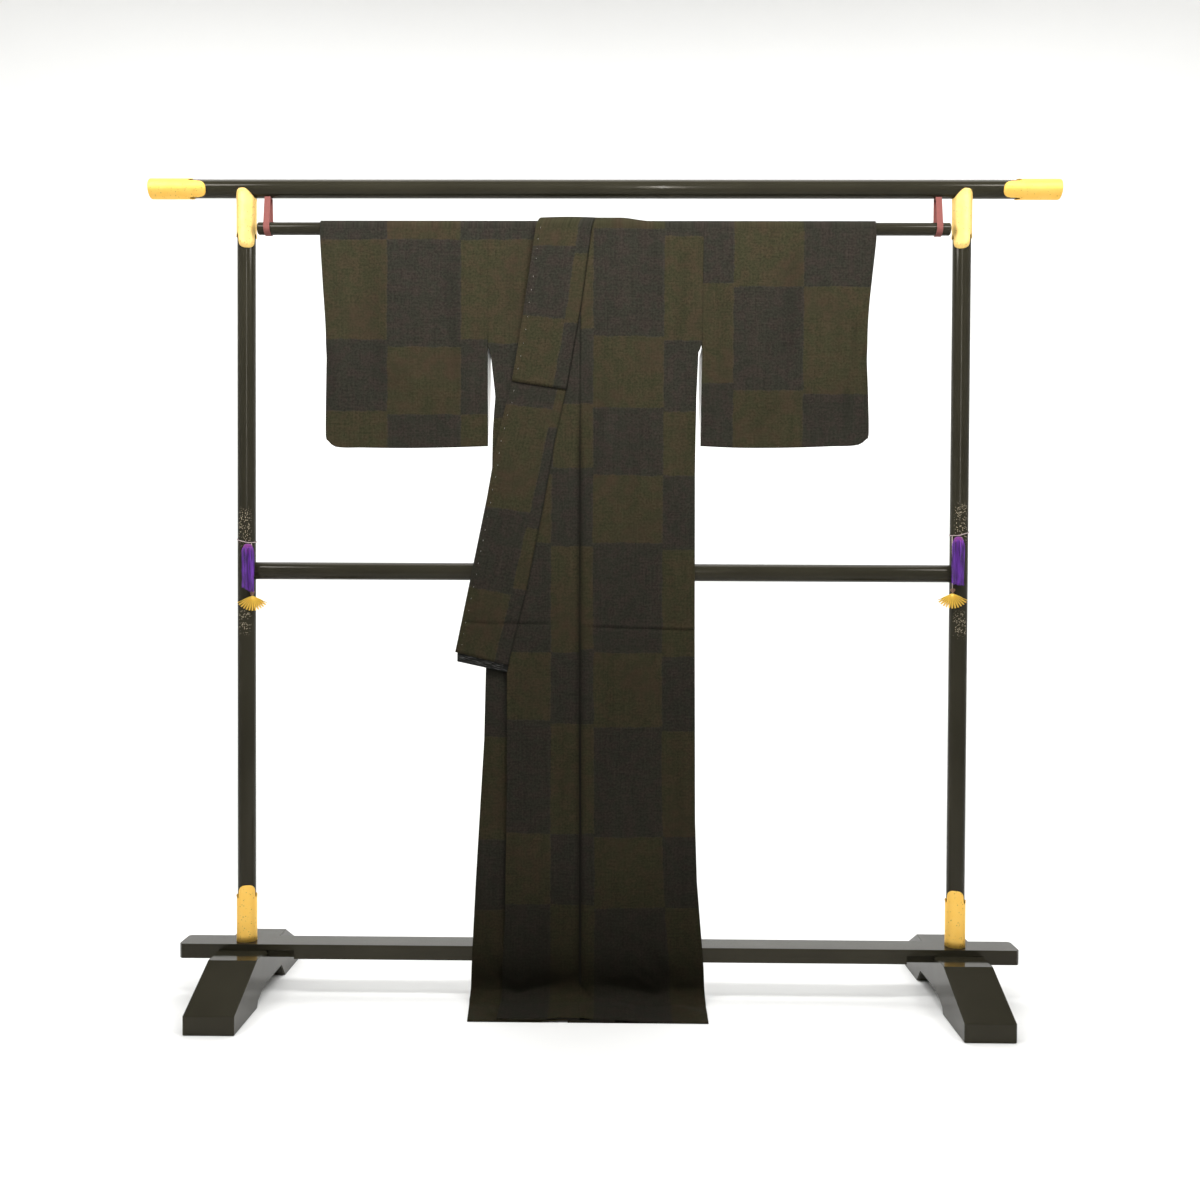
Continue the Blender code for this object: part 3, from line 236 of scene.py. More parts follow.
# ---- creases: from (x, z) to (x, z), half width, height out of the cloth -------------------
# "front" and "back" move one side of the body, "both" moves every layer of it together.
CREASES = {
    "front": (
        (0.060, 1.480, 0.035, 1.250, 0.0220, 0.0022),
        (0.165, 1.490, 0.150, 1.300, 0.0180, -0.0020),
        (0.095, 1.500, 0.105, 1.380, 0.0200, -0.0016),
        (0.010, 1.330, -0.010, 1.020, 0.0160, -0.0018),
        (0.120, 1.300, 0.140, 1.000, 0.0240, 0.0020),
        (0.070, 1.150, 0.060, 0.960, 0.0200, -0.0014),
        (-0.170, 1.490, -0.185, 1.350, 0.0160, -0.0016),
        (-0.145, 1.380, -0.190, 1.180, 0.0180, 0.0018),
    ),
    "both": (
        (-0.270, 0.7530, -0.215, 0.7495, 0.0032, -0.0026),
        (-0.200, 0.7500, -0.110, 0.7500, 0.0032, -0.0028),
        (0.000, 0.7440, 0.185, 0.7380, 0.0032, -0.0026),
        (-0.020, 0.7500, 0.200, 0.7440, 0.0040, 0.0012),
        (0.085, 0.700, 0.120, 0.330, 0.0240, 0.0024),
        (0.020, 0.640, 0.000, 0.250, 0.0200, -0.0018),
        (0.150, 0.560, 0.165, 0.200, 0.0180, -0.0016),
        (-0.120, 0.620, -0.110, 0.280, 0.0220, 0.0022),
        (-0.075, 0.520, -0.070, 0.170, 0.0160, -0.0016),
        (-0.205, 0.600, -0.225, 0.180, 0.0150, 0.0020),
        (-0.165, 0.420, -0.172, 0.170, 0.0120, -0.0012),
        (0.045, 0.150, 0.105, 0.050, 0.0200, 0.0045),
        (-0.215, 0.130, -0.160, 0.050, 0.0160, 0.0040),
        (-0.200, 0.056, -0.166, 0.026, 0.0130, -0.0040),
        (-0.163, 0.020, -0.106, 0.042, 0.0075, -0.0060),
        (-0.165, 0.030, -0.090, 0.056, 0.0150, -0.0050),
        (-0.110, 0.042, -0.045, 0.054, 0.0110, -0.0045),
        (0.000, 0.048, 0.070, 0.036, 0.0120, -0.0050),
        (0.070, 0.031, 0.115, 0.020, 0.0075, -0.0060),
        (0.050, 0.046, 0.125, 0.032, 0.0160, -0.0050),
        (0.150, 0.032, 0.205, 0.036, 0.0110, -0.0050),
        (-0.252, 0.050, -0.215, 0.040, 0.0110, -0.0035),
        (-0.255, 0.024, -0.170, 0.024, 0.0050, -0.0030),
        (0.045, 0.130, 0.145, 0.055, 0.0150, -0.0038),
        (-0.036, 0.036, -0.013, 0.001, 0.0040, -0.0060),
        (0.110, 0.100, 0.160, 0.060, 0.0120, 0.0030),
        (0.150, -0.020, 0.200, -0.060, 0.0160, 0.0035),
        (-0.225, -0.010, -0.200, -0.070, 0.0150, 0.0030),
        (0.050, -0.030, 0.065, -0.085, 0.0180, 0.0025),
    ),
    "back": (
        (0.110, 1.480, 0.090, 1.180, 0.0260, 0.0024),
        (-0.140, 1.470, -0.120, 1.150, 0.0220, 0.0026),
        (-0.180, 1.380, -0.170, 0.980, 0.0180, -0.0018),
        (0.150, 1.300, 0.140, 0.950, 0.0200, -0.0016),
        (0.060, 1.250, 0.075, 0.930, 0.0180, 0.0016),
        (-0.095, 1.200, -0.100, 0.920, 0.0200, -0.0014),
    ),
    "sleeve_right": (
        (-0.300, 1.470, -0.290, 1.240, 0.0170, -0.0020),
        (-0.350, 1.420, -0.370, 1.180, 0.0240, 0.0024),
        (-0.455, 1.480, -0.440, 1.210, 0.0220, -0.0022),
        (-0.505, 1.430, -0.515, 1.200, 0.0160, 0.0022),
        (-0.260, 1.330, -0.250, 1.150, 0.0140, 0.0016),
        (-0.420, 1.240, -0.330, 1.150, 0.0200, -0.0018),
    ),
    "sleeve_left": (
        (0.500, 1.350, 0.502, 1.240, 0.0085, -0.0030),
        (0.487, 1.220, 0.482, 1.150, 0.0085, -0.0028),
        (0.515, 1.330, 0.512, 1.200, 0.0110, 0.0026),
        (0.345, 1.190, 0.300, 1.130, 0.0130, -0.0022),
        (0.300, 1.460, 0.310, 1.240, 0.0220, 0.0022),
        (0.380, 1.480, 0.365, 1.260, 0.0240, -0.0022),
        (0.450, 1.430, 0.440, 1.210, 0.0200, 0.0024),
        (0.235, 1.420, 0.240, 1.200, 0.0160, -0.0016),
    ),
}
CREASE_NAP = 0.0200     # how softly a crease ends, as a share of a metre of its length

ROOT = "root"


# ---- helpers -------------------------------------------------------------------------------
def mix(start, end, share):
    return start + (end - start) * share


def clamp(value):
    return min(max(value, 0.0), 1.0)


def smooth_step(value):
    """0 to 1 with level ends."""
    held = clamp(value)
    return held * held * (3 - 2 * held)


def hump(off, width):
    """1 at nothing, and dying out to either side past a width."""
    return math.exp(-(off / width) ** 2)


def read_table(table, z):
    """The second column of a table of falling heights, straight between its rows."""
    if z >= table[0][0]:
        return table[0][1]
    for (upper, before), (lower, after) in zip(table, table[1:]):
        if z >= lower:
            return mix(before, after, (upper - z) / (upper - lower))
    return table[-1][1]


def read_smooth(places, values, place):
    """A soft curve through values at rising places."""
    for index in range(len(places) - 2, -1, -1):
        if place >= places[index]:
            break
    before, after = max(index - 1, 0), min(index + 2, len(places) - 1)
    span = places[index + 1] - places[index]
    share = (place - places[index]) / span
    rise = (values[index + 1] - values[before]) / (places[index + 1] - places[before]) * span
    fall = (values[after] - values[index]) / (places[after] - places[index]) * span
    square, cube = share ** 2, share ** 3
    return (values[index] * (2 * cube - 3 * square + 1) + rise * (cube - 2 * square + share)
            + values[index + 1] * (3 * square - 2 * cube) + fall * (cube - square))


def steps(start, end, size):
    """Even steps of about a size, with both ends."""
    count = max(round(abs(end - start) / size), 1)
    return [mix(start, end, index / count) for index in range(count + 1)]


def place(item, slot, *nodes):
    """Put a finished piece on the stand's one body, in place of its solids."""
    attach(item, ROOT)
    if nodes:
        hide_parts(*nodes)
    return item


def circle(count, start=0.0):
    """Even angles once round, the first one so many steps on."""
    return [2 * math.pi * (index + start) / count for index in range(count)]


def add_object(name, data):
    """A new object in the scene."""
    made = bpy.data.objects.new(name, data)
    bpy.context.scene.collection.objects.link(made)
    return made


def mesh_object(name, bm, finish, angle=40):
    """A bmesh as a smooth-shaded object with its finish."""
    bmesh.ops.recalc_face_normals(bm, faces=bm.faces)
    mesh = bpy.data.meshes.new(name)
    bm.to_mesh(mesh)
    bm.free()
    mesh.shade_smooth()
    mesh.set_sharp_from_angle(angle=math.radians(angle))
    mesh.materials.append(finish)
    return add_object(name, mesh)


def weave_rows(bm, rows, ring=False, tube=False, caps=(), values=()):
    """Faces between rows of points, skipping gaps. Values are per-point layers by name.

    A ring joins its last row to its first, a tube joins the ends of every row, and caps are the
    rows that are filled in.
    """
    layers = [bm.verts.layers.float.get(key) or bm.verts.layers.float.new(key) for key in values]
    grid = []
    for row in rows:
        line = []
        for point in row:
            vert = bm.verts.new(point[:3]) if point else None
            if point:
                for layer, value in zip(layers, point[3:]):
                    vert[layer] = value
            line.append(vert)
        grid.append(line)
    pairs = list(zip(grid, grid[1:]))
    if ring:
        pairs.append((grid[-1], grid[0]))
    for upper, lower in pairs:
        for column in range(len(upper) if tube else len(upper) - 1):
            after = (column + 1) % len(upper)
            corners = (upper[column], upper[after], lower[after], lower[column])
            if all(corners):
                bm.faces.new(corners)
    for cap in caps:
        bm.faces.new(grid[cap])


def woven(name, rows, finish, angle=40, wall=0.0, **kinds):
    """An object from rows of points, with its wall where it is a sheet."""
    bm = bmesh.new()
    weave_rows(bm, rows, **kinds)
    made = mesh_object(name, bm, finish, angle)
    if wall:
        solid = made.modifiers.new("wall", "SOLIDIFY")
        solid.thickness = wall
        solid.offset = 0.0
    return made


# ---- finishes ------------------------------------------------------------------------------
def working(operation, turned=False):
    """A method that does one sum on a Wire and another number, or on the two turned round."""
    def method(self, other=None):
        pair = (other, self) if turned else (self, other)
        return self.board.node("ShaderNodeMath", dict(enumerate(pair)), operation=operation)
    return method


class Wire:
    """One output of a shader node that is worked with like a number."""

    def __init__(self, board, socket):
        self.board = board
        self.socket = socket

    __add__ = working("ADD")
    __radd__ = working("ADD", turned=True)
    __sub__ = working("SUBTRACT")
    __rsub__ = working("SUBTRACT", turned=True)
    __mul__ = working("MULTIPLY")
    __rmul__ = working("MULTIPLY", turned=True)
    __truediv__ = working("DIVIDE")
    __gt__ = working("GREATER_THAN")
    __lt__ = working("LESS_THAN")
    __abs__ = working("ABSOLUTE")
    wave = working("SINE")


class Finish:
    """A material and the nodes that make it, added one call at a time."""

    def __init__(self, name, sockets):
        self.material = bpy.data.materials.new(name)
        self.material.use_nodes = True
        self.tree = self.material.node_tree
        self.shader = self.tree.nodes["Principled BSDF"]
        for socket, value in sockets.items():
            self.put(socket, value)

    def feed(self, socket, value):
        if isinstance(value, Wire):
            self.tree.links.new(value.socket, socket)
        elif value is not None:
            if hasattr(value, "__len__") and len(value) == 3 and socket.type == "RGBA":
                value = (*value, 1.0)
            socket.default_value = value

    def node(self, kind, inputs=None, output=0, **settings):
        """Any node: its type, the values or links of its sockets, and its settings."""
        made = self.tree.nodes.new(kind)
        for key, value in settings.items():
            if key == "stops":
                ramp = made.color_ramp
                ramp.interpolation = "CONSTANT"
                while len(ramp.elements) < len(value):
                    ramp.elements.new(1.0)
                for element, (position, grey) in zip(ramp.elements, value):
                    element.position = position
                    element.color = (grey, grey, grey, 1.0)
            else:
                setattr(made, key, value)
        for key, value in (inputs or {}).items():
            self.feed(made.inputs[key], value)
        return Wire(self, made.outputs[output])

    def put(self, socket, value):
        """Set or link one of the shader's own sockets."""
        self.feed(self.shader.inputs[socket], value)

    def attribute(self, name):
        return self.node("ShaderNodeAttribute", output="Fac", attribute_name=name)

    def spot(self):
        """Place in the piece's own space."""
        return self.node("ShaderNodeTexCoord", output="Object")

    def parts(self, vector):
        split = self.node("ShaderNodeSeparateXYZ", {0: vector}).socket.node
        return [Wire(self, output) for output in split.outputs]

    def vector(self, x, y, z=0.0):
        return self.node("ShaderNodeCombineXYZ", {0: x, 1: y, 2: z})

    def noise(self, vector, scale=1.0, detail=2.0, rough=0.5):
        return self.node("ShaderNodeTexNoise", {"Vector": vector, "Scale": scale,
                                                "Detail": detail, "Roughness": rough})

    def cells(self, vector, scale, output=0):
        """Scattered cells: the way to each one's middle, or a chance value for each."""
        return self.node("ShaderNodeTexVoronoi", {"Vector": vector, "Scale": scale}, output)

    def ramp(self, value, low, high):
        """0 below low and 1 above high, softly."""
        return self.node("ShaderNodeMapRange", {"Value": value, "From Min": low, "From Max": high},
                         interpolation_type="SMOOTHSTEP")

    def blend(self, share, first, second, kind="MIX"):
        """Mix two colours."""
        return self.node("ShaderNodeMix", {0: share, 6: first, 7: second}, 2,
                         data_type="RGBA", blend_type=kind)

    def done(self, colour, roughness, height=None, strength=0.0, distance=0.0):
        """The material, with its colour, its roughness and any bump."""
        self.put("Base Color", colour)
        self.put("Roughness", roughness)
        if height:
            self.put("Normal", self.node("ShaderNodeBump", {
                "Height": height, "Strength": strength, "Distance": distance}))
        return self.material


def tint(colour, factor):
    """A colour made lighter or darker."""
    return tuple(channel * factor for channel in colour)


def warmer(gilt, green, blue):
    """Gilt with its green and blue shares changed, and its green kept at 1 or less."""
    return (gilt[0], min(gilt[1] * green, 1.0), gilt[2] * blue)


RUN_LOW = -0.15         # heights that the check's rows are read between
RUN_HIGH = 1.65


def check_rows(board, column, height):
    """Step pattern of one column of the check: its colour at a height."""
    colour, edges = column
    stops = [(0.0, (colour + len(edges)) % 2)]
    # A stop holds its colour upwards, so each takes the colour above its own edge.
    for index in reversed(range(len(edges))):
        share = clamp((edges[index] - RUN_LOW) / (RUN_HIGH - RUN_LOW))
        stops.append((share, (colour + index) % 2))
    share = (height - RUN_LOW) / (RUN_HIGH - RUN_LOW)
    return board.node("ShaderNodeValToRGB", {0: share}, stops=stops)


def check(board, chart, across, height):
    """0 for charcoal and 1 for olive, from the three columns of a chart."""
    first, second, third = (check_rows(board, column, height) for column in chart["columns"])
    left = first + (across > 1.0) * (second - first)
    return left + (across > 2.0) * (third - left)


HEM_SHADE = (0.0016, 0.0013, 0.0)
# the black satin, and the painted highlight of its streaks
SATIN_AND_HIGHLIGHT = ((0.010, 0.010, 0.009), (0.13, 0.13, 0.125))


def silk_finish(name, cloth):
    """Dull silk with its check: uneven block edges, slubs both ways, and a fine weave."""
    board = Finish(f"silk_{name}", {"Specular IOR Level": 0.06, "Sheen Weight": 0.02,
                                    "Sheen Roughness": 0.45})
    across, height, width, edge, satin, shade = map(board.attribute, CLOTH_LAYERS)
    flat = board.vector(width, height)
    chart = CHARTS[name]

    def threads(sideways, upwards, detail=2.0, rough=0.5):
        """Noise with a scale of its own across the panel and along it."""
        return board.noise(board.vector(width * sideways, height * upwards), 1.0, detail, rough)

    # The blocks, with a paler line where the threads of two of them cross
    wander = board.noise(flat, 34.0, 3.0) - 0.5
    uneven_height = height + wander * 0.0080 + (threads(420.0, 30.0) - 0.5) * 0.0050
    uneven_across = across + wander * 0.045 + (threads(60.0, 300.0) - 0.5) * 0.030
    olive = check(board, chart, uneven_across, uneven_height)
    line = abs(olive - check(board, chart, uneven_across + 0.018, uneven_height + 0.0022))
    broken = board.ramp(board.noise(flat, 260.0), 0.40, 0.62)

    # The weave: slubs both ways, a fine mottle, and slow changes of colour
    slubs = threads(330.0, 11.0, 3.0, 0.6) + threads(26.0, 380.0, 3.0, 0.6) - 1.0
    tone = slubs * 1.1 + (board.noise(flat, 230.0, 1.5, 0.60) - 0.5) * 2.4 + 0.5
    grey = board.blend(tone, tint(cloth.charcoal, 0.70), tint(cloth.charcoal, 1.29))
    green = board.blend(tone, tint(cloth.olive, 0.72), tint(cloth.olive, 1.27))
    brown = (cloth.olive[0] * 1.16, cloth.olive[1] * 0.90, cloth.olive[2] * 1.08)
    green = board.blend(board.ramp(board.noise(flat, 9.0, 3.0), 0.44, 0.68) * 0.40, green, brown)
    tinge = board.blend(board.ramp(board.noise(flat, 42.0), 0.38, 0.66),
                        (0.91, 0.99, 0.93), (1.10, 1.00, 1.02))
    colour = board.blend(1.0, board.blend(olive, grey, green), tinge, "MULTIPLY")
    colour = board.blend(line * broken * 0.30, colour, tint(cloth.charcoal, 1.9))
    # Painted highlight: pale streaks across the black satin at the collar's end, standing in for
    # its sheen
    satin_highlight = board.ramp(threads(55.0, 640.0), 0.50, 0.72)
    colour = board.blend(satin, colour, board.blend(satin_highlight, *SATIN_AND_HIGHLIGHT))

    # The shade: paler crests, dark hollows, the fall of light towards the hem, and the seams
    crest = board.ramp(shade * -1.0, 0.0, 1.4) * 0.10
    colour = board.blend(crest, colour, tint(cloth.olive, 2.4))
    hollow = board.ramp(shade, 0.0, 1.2) * 0.62
    colour = board.blend(hollow, colour, tint(cloth.charcoal, 0.12))
    lower = (1 - board.ramp(height, 0.45, 1.20)) * 0.33
    hem = (1 - board.ramp(height, 0.05, 0.35)) * (board.ramp(height, -0.02, 0.06) * 0.17 + 0.16)
    bend = board.ramp(height, -0.02, 0.04) * (1 - board.ramp(height, 0.05, 0.12)) * 0.14
    colour = board.blend(lower + hem + bend, colour, HEM_SHADE)
    seam = (1 - board.ramp(edge, 0.0004, 0.0030)) * (1 - board.ramp(height, 0.46, 0.66) * 0.55)
    colour = board.blend(seam, colour, tint(cloth.charcoal, 0.22))
    thread = threads(1400.0, 900.0, 1.0)
    return board.done(colour, 0.82 - satin * 0.40 + thread * 0.06,
                      tone * 0.6 + thread * 0.4, 0.30, 0.0005)


def lining_finish(cloth):
    """Plain pale silk of the sleeve's lining."""
    board = Finish("silk_lining", {"Sheen Weight": 0.15})
    x, y, z = board.parts(board.spot())
    thread = board.noise(board.vector(x * 900.0, y * 900.0, z * 60.0))
    colour = board.blend(thread, tint(cloth.lining, 0.93), cloth.lining)
    return board.done(colour, 0.55, thread, 0.2, 0.0003)


DUST = (0.10, 0.095, 0.085)
FLECK = (0.46, 0.39, 0.27)
FLECK_FADE = 0.01       # how softly a band of flecks begins and ends


def lacquer_finish(name, stand, flecks=()):
    """Deep gloss lacquer with a faint ripple, fine dust, and gold flecks in some bands."""
    board = Finish(name, {"Specular IOR Level": 0.16, "Specular Tint": (1.0, 0.93, 0.82, 1.0),
                          "Coat Weight": 0.05, "Coat Roughness": 0.04})
    spot = board.spot()
    cloud = board.noise(spot, 6.0)
    speck = board.ramp(board.noise(spot, 1100.0, 1.0), 0.72, 0.80) * 0.15
    colour = board.blend(cloud, tint(stand.lacquer, 0.7), tint(stand.lacquer, 1.3))
    colour = board.blend(speck, colour, DUST)
    if flecks:
        y, z = board.parts(spot)[1:]
        bands = 0.0
        for low, high in flecks:
            bands = bands + (board.ramp(z, low - FLECK_FADE, low + FLECK_FADE)
                             * (1 - board.ramp(z, high - FLECK_FADE, high + FLECK_FADE)))
        chance = board.parts(board.cells(spot, 520.0, output=1))[0]
        facing = 1 - board.ramp(y, -0.0165, -0.0100)
        mask = (board.cells(spot, 520.0) < 0.40) * (chance > 0.74) * bands * facing
        colour = board.blend(mask, colour, FLECK)
    return board.done(colour, stand.polish + cloud * 0.06 + speck * 0.3,
                      board.noise(spot, 14.0), 0.10, 0.004)


def gilt_finish(name, gilt):
    """Satin gilt brass with small engraved specks and faint, slow changes of tone."""
    board = Finish(name, {"Metallic": 0.7})
    spot = board.spot()
    speck = (board.ramp(board.cells(spot, 210.0) * -1.0, -0.30, -0.14)
             * board.ramp(board.noise(spot, 90.0, 1.0), 0.46, 0.54))
    wear = board.noise(spot, 60.0, 3.0)
    pale = (1.0, min(gilt[1] * 1.06, 1.0), gilt[2] * 1.3)
    colour = board.blend(board.ramp(wear, 0.35, 0.70) * 0.6, gilt, pale)
    colour = board.blend(speck * 0.75, colour, tint(gilt, 0.40))
    return board.done(colour, 0.56 + wear * 0.06, speck * -1.0 + wear * 0.3, 0.20, 0.0004)


def fan_finish(stand):
    """Thin gilt leaf of the fans, with painted shade in the valleys of their pleats."""
    board = Finish("gilt_thin", {"Specular IOR Level": 0.9})
    cloud = board.noise(board.spot(), 300.0, 3.0)
    bright = warmer(stand.gilt, 1.12, 0.85)
    colour = board.blend(cloud, tint(bright, 0.88), bright)
    # Painted shade in the pleats' valleys, deepest towards the rim
    colour = board.blend(board.attribute("valley"), colour, (0.14, 0.045, 0.005))
    return board.done(colour, 0.36 + cloud * 0.16, cloud, 0.25, 0.0003)


def strap_finish(ornament):
    """Dull woven tape."""
    board = Finish("tape_red", {"Sheen Weight": 0.05})
    spot = board.spot()
    x, y, z = board.parts(spot)
    weave = ((z * 3600.0).wave() * 0.5 + 0.5) * 0.6 + ((x * 5200.0).wave() * 0.5 + 0.5) * 0.4
    shade = weave * 0.5 + board.noise(spot, 240.0) * 0.5
    colour = board.blend(shade, tint(ornament.strap, 0.62), tint(ornament.strap, 1.25))
    return board.done(colour, 0.85, weave, 0.6, 0.0004)


def thread_finish(name, colour, shine=0.45, twist=0.0, top=None, fade=None):
    """Silk thread: strands that vary in tone, with a twist where they are laid into a cord.

    A tassel's thread is also paler at its top, between the two heights of its fade.
    """
    board = Finish(name, {"Sheen Weight": 0.2, "Sheen Roughness": 0.35})
    x, y, z = board.parts(board.spot())
    fine, contrast = (420.0, 4.0) if top else (900.0, 1.8)
    strand = board.noise(board.vector(x * fine, y * fine, z * 30.0))
    shade = (strand - 0.5) * contrast + 0.5
    if twist:
        laid = ((x + y) * 4200.0 + z * twist).wave() * 0.5 + 0.5
        shade = strand * 0.3 + laid * 0.7
    tone = board.blend(shade, tint(colour, 0.35), tint(colour, 1.60))
    if top:
        streaks = board.noise(board.vector(x * 520.0, y * 520.0, z * 40.0))
        pale = board.ramp(z, *fade) * 0.75 * board.ramp(streaks, 0.46, 0.60)
        tone = board.blend(pale, tone, board.blend(shade, tint(top, 0.55), tint(top, 1.35)))
    return board.done(tone, shine + strand * 0.2, shade, 0.5, 0.0004)


# ---- cloth paths ---------------------------------------------------------------------------
def relief(names, x, z, depth):
    """Height of the creases of the named groups at a place on the cloth."""
    total = 0.0
    for name in names:
        for x0, z0, x1, z1, width, height in CREASES[name]:
            run_x, run_z = x1 - x0, z1 - z0
            length = math.hypot(run_x, run_z)
            along = ((x - x0) * run_x + (z - z0) * run_z) / length
            soft = max(CREASE_NAP, 0.3 * length)
            if not -soft < along < length + soft:
                continue
            off = ((x - x0) * run_z - (z - z0) * run_x) / length
            if abs(off) < 3 * width:
                fade = smooth_step((min(along, length - along) + soft) / (1.6 * soft))
                total += height * hump(off, width) * fade
    return total * depth


def pleat_share(x):
    """1 where the back's layers lie over each other, 0 where it is single."""
    left = smooth_step((x - (PLEAT_LOW_X - SETTLE - PLEAT_RAMP)) / PLEAT_RAMP)
    right = smooth_step(((PLEAT_HIGH_X + SETTLE + PLEAT_RAMP) - x) / PLEAT_RAMP)
    return left * right


def rear_y(z):
    """Depth of the rearmost layer where nothing pushes it out."""
    return read_table(REAR_PATH, z)


def side_pull(x, z):
    """How far a side seam draws front and back together."""
    edge = min(x - read_table(RIGHT_SIDE, z), read_table(LEFT_SIDE, z) - x)
    return smooth_step(1 - edge / SEAM_RAMP) * smooth_step((FREE_SIDE_Z + 0.02 - z) / 0.05)


def lying(offset, drop):
    """Depth and height past the bend onto the floor."""
    if drop < QUARTER:
        angle = drop / BEND_RADIUS
        radius = BEND_RADIUS - offset
        return TURN_Y + radius * math.cos(angle), BEND_Z - radius * math.sin(angle)
    return TURN_Y - (drop - QUARTER), BEND_Z - BEND_RADIUS + offset


def front_line(z, resting):
    """Depth of the innermost front layer."""
    share = clamp((ROD_Z - z) / (ROD_Z - RAIL_REST_Z))
    return mix(ROD_Y - ROD_WRAP, rear_y(min(z, RAIL_REST_Z)) - resting, share)


def hanging_fade(z):
    """Creases die out where the cloth is drawn over the rod."""
    return smooth_step((ROD_Z - 0.008 - z) / 0.05)


RAIL_HOLD = (0.852, 0.075)      # middle and reach of the cloth that the rail holds flat
PLANK_HOLD = (0.095, 0.05)
PLANK_FREEDOM = 0.35            # share of a crease that is left at the plank


def free_depth(z):
    """Share of a crease that the cloth can take where it lies against the rail and plank."""
    rail, plank = (smooth_step(abs(z - middle) / reach)
                   for middle, reach in (RAIL_HOLD, PLANK_HOLD))
    return rail * mix(PLANK_FREEDOM, 1.0, plank)


def corner_room(z):
    """How far the cloth can sink into the corner between the plank and the floor."""
    angle = min(max((BEND_Z - z) / BEND_RADIUS, 0.0), math.pi / 2)
    return 0.75 * BEND_RADIUS * (1 / max(math.cos(angle), math.sin(angle)) - 1)


def body_relief(x, z, depth):
    """Creases that every layer of the body takes together."""
    raised = relief(("both",), x, z, depth)
    if raised < 0 or z > 0.2:
        raised *= free_depth(z)
    if z < 0.13:
        raised = max(raised, -corner_room(z))
    return raised * smooth_step((z - HEM_RUN - 0.004) / 0.03)


HOLLOW_DEPTH = 0.0060       # a crease this deep takes its full shade
UPPER_FROM_Z = 0.90         # front and back have creases of their own above this
SEAM_SHADE = (0.85, 0.0085)             # strength and width of the shade beside a line
OKUMI_EDGE_SHADE = (0.80, 0.0050)
COLLAR_END_SHADE = (1.3, 0.0160)
COLLAR_SHADES = (0.35, 0.75)            # under the collar, and under both bands
COLLAR_SHADE_WIDTH = 0.0090
COLLAR_END_X = (-0.288, -0.184)         # across the right collar's end


def front_shade(x, z, depth, side):
    """Shade of the front: in its creases, beside the overlap's seam and under its edge."""
    raised = relief(("both",), x, z, depth)
    if z > UPPER_FROM_Z:
        raised += relief(("front",), x, z, depth) * hanging_fade(z)
    shade = -raised / HOLLOW_DEPTH
    strength, width = SEAM_SHADE
    falls = smooth_step((1.24 - z) / 0.16) * smooth_step((z - 0.03) / 0.04)
    shade += strength * hump(x - read_table(OKUMI_SEAM, z), width) * falls
    if side < 0 and z < OKUMI_EDGE[0][0] + 0.02:
        strength, width = OKUMI_EDGE_SHADE
        under = max(read_table(OKUMI_EDGE, z) - x, 0.0)
        shade += strength * hump(under, width) * smooth_step((z - 0.01) / 0.05)
        strength, width = COLLAR_END_SHADE
        across = (x - COLLAR_END_X[0]) / (COLLAR_END_X[1] - COLLAR_END_X[0])
        shade += strength * hump(max(mix(*RIGHT_COLLAR_END, across) - z, 0.0), width)
    if side < 0 and z > LEFT_COLLAR_END[0]:
        under = max(read_table(COLLAR_EDGE, z) - x, 0.0)
        strength = mix(*COLLAR_SHADES, smooth_step((z - OVER_COLLAR_END[0]) / 0.02))
        shade += strength * hump(under, COLLAR_SHADE_WIDTH)
    return shade


def upper_relief(side, x, z, depth):
    """Creases of the front or the back alone, which die out under the rod and at the rail."""
    rise = smooth_step((z - UPPER_FROM_Z) / 0.10)
    return relief((side,), x, z, depth) * hanging_fade(z) * rise


def front_point(x, z, plies, depth):
    """A point of the front, so many plies before its innermost layer."""
    resting = PLY + 2 * PLEAT_PLY * pleat_share(x)
    shared = body_relief(x, z, depth)
    if z < BEND_Z:
        y, height = lying(resting + plies * PLY + shared, BEND_Z - z)
        return (x, y, height)
    y = front_line(z, resting)
    middle = (y + rear_y(z)) / 2 - PLY / 2
    y = mix(y, middle, side_pull(x, z)) if plies < 1 else y
    own = upper_relief("front", x, z, depth)
    return (x, y - plies * PLY - shared - own * (1 - side_pull(x, z)), z)


def back_push(z):
    """How far the back is pushed out by what lies under its pleat."""
    if z >= PLEAT_TOP_Z:
        return BEHIND_BODY
    if z >= PLEAT_CLOSED_Z:
        share = (z - PLEAT_CLOSED_Z) / (PLEAT_TOP_Z - PLEAT_CLOSED_Z)
        return mix(2 * PLEAT_PLY, BEHIND_BODY, share)
    return 2 * PLEAT_PLY * max((z - RAIL_REST_Z) / (PLEAT_CLOSED_Z - RAIL_REST_Z), 0.0)


def back_point(x, z, layer, depth):
    """A point of the back: layer 0 is the outer one, 1 the middle and 2 the inner one."""
    share = pleat_share(x)
    push = back_push(z)
    depths = (0.0, PLEAT_PLY, max(2 * PLEAT_PLY, push))
    inner = mix(depths[math.floor(layer)], depths[math.ceil(layer)], layer - math.floor(layer))
    shared = body_relief(x, z, depth)
    if z < BEND_Z:
        y, height = lying(inner * share + shared, BEND_Z - z)
        return (x, y, height)
    y = rear_y(z) + (push - inner) * share
    middle = (front_line(z, PLY) + y) / 2 + PLY / 2
    own = upper_relief("back", x, z, depth) * ((1 - share) * (1 - side_pull(x, z)))
    return (x, mix(y, middle, side_pull(x, z)) - shared + own, z)


LOOSE_OVER_ROD = 0.0016


def rod_point(x, angle, lift):
    """A point over the rod: angle 0 is in front of it, and pi behind it."""
    radius = ROD_WRAP + lift + LOOSE_OVER_ROD * math.sin(angle)
    return (x, ROD_Y - radius * math.cos(angle), ROD_Z + radius * math.sin(angle))


def rod_angles():
    return steps(0.0, math.pi, math.pi / 16)


STORED = (0.758, 0.734)     # the line of the storage crease runs between these heights
STORED_STEP = 0.0020


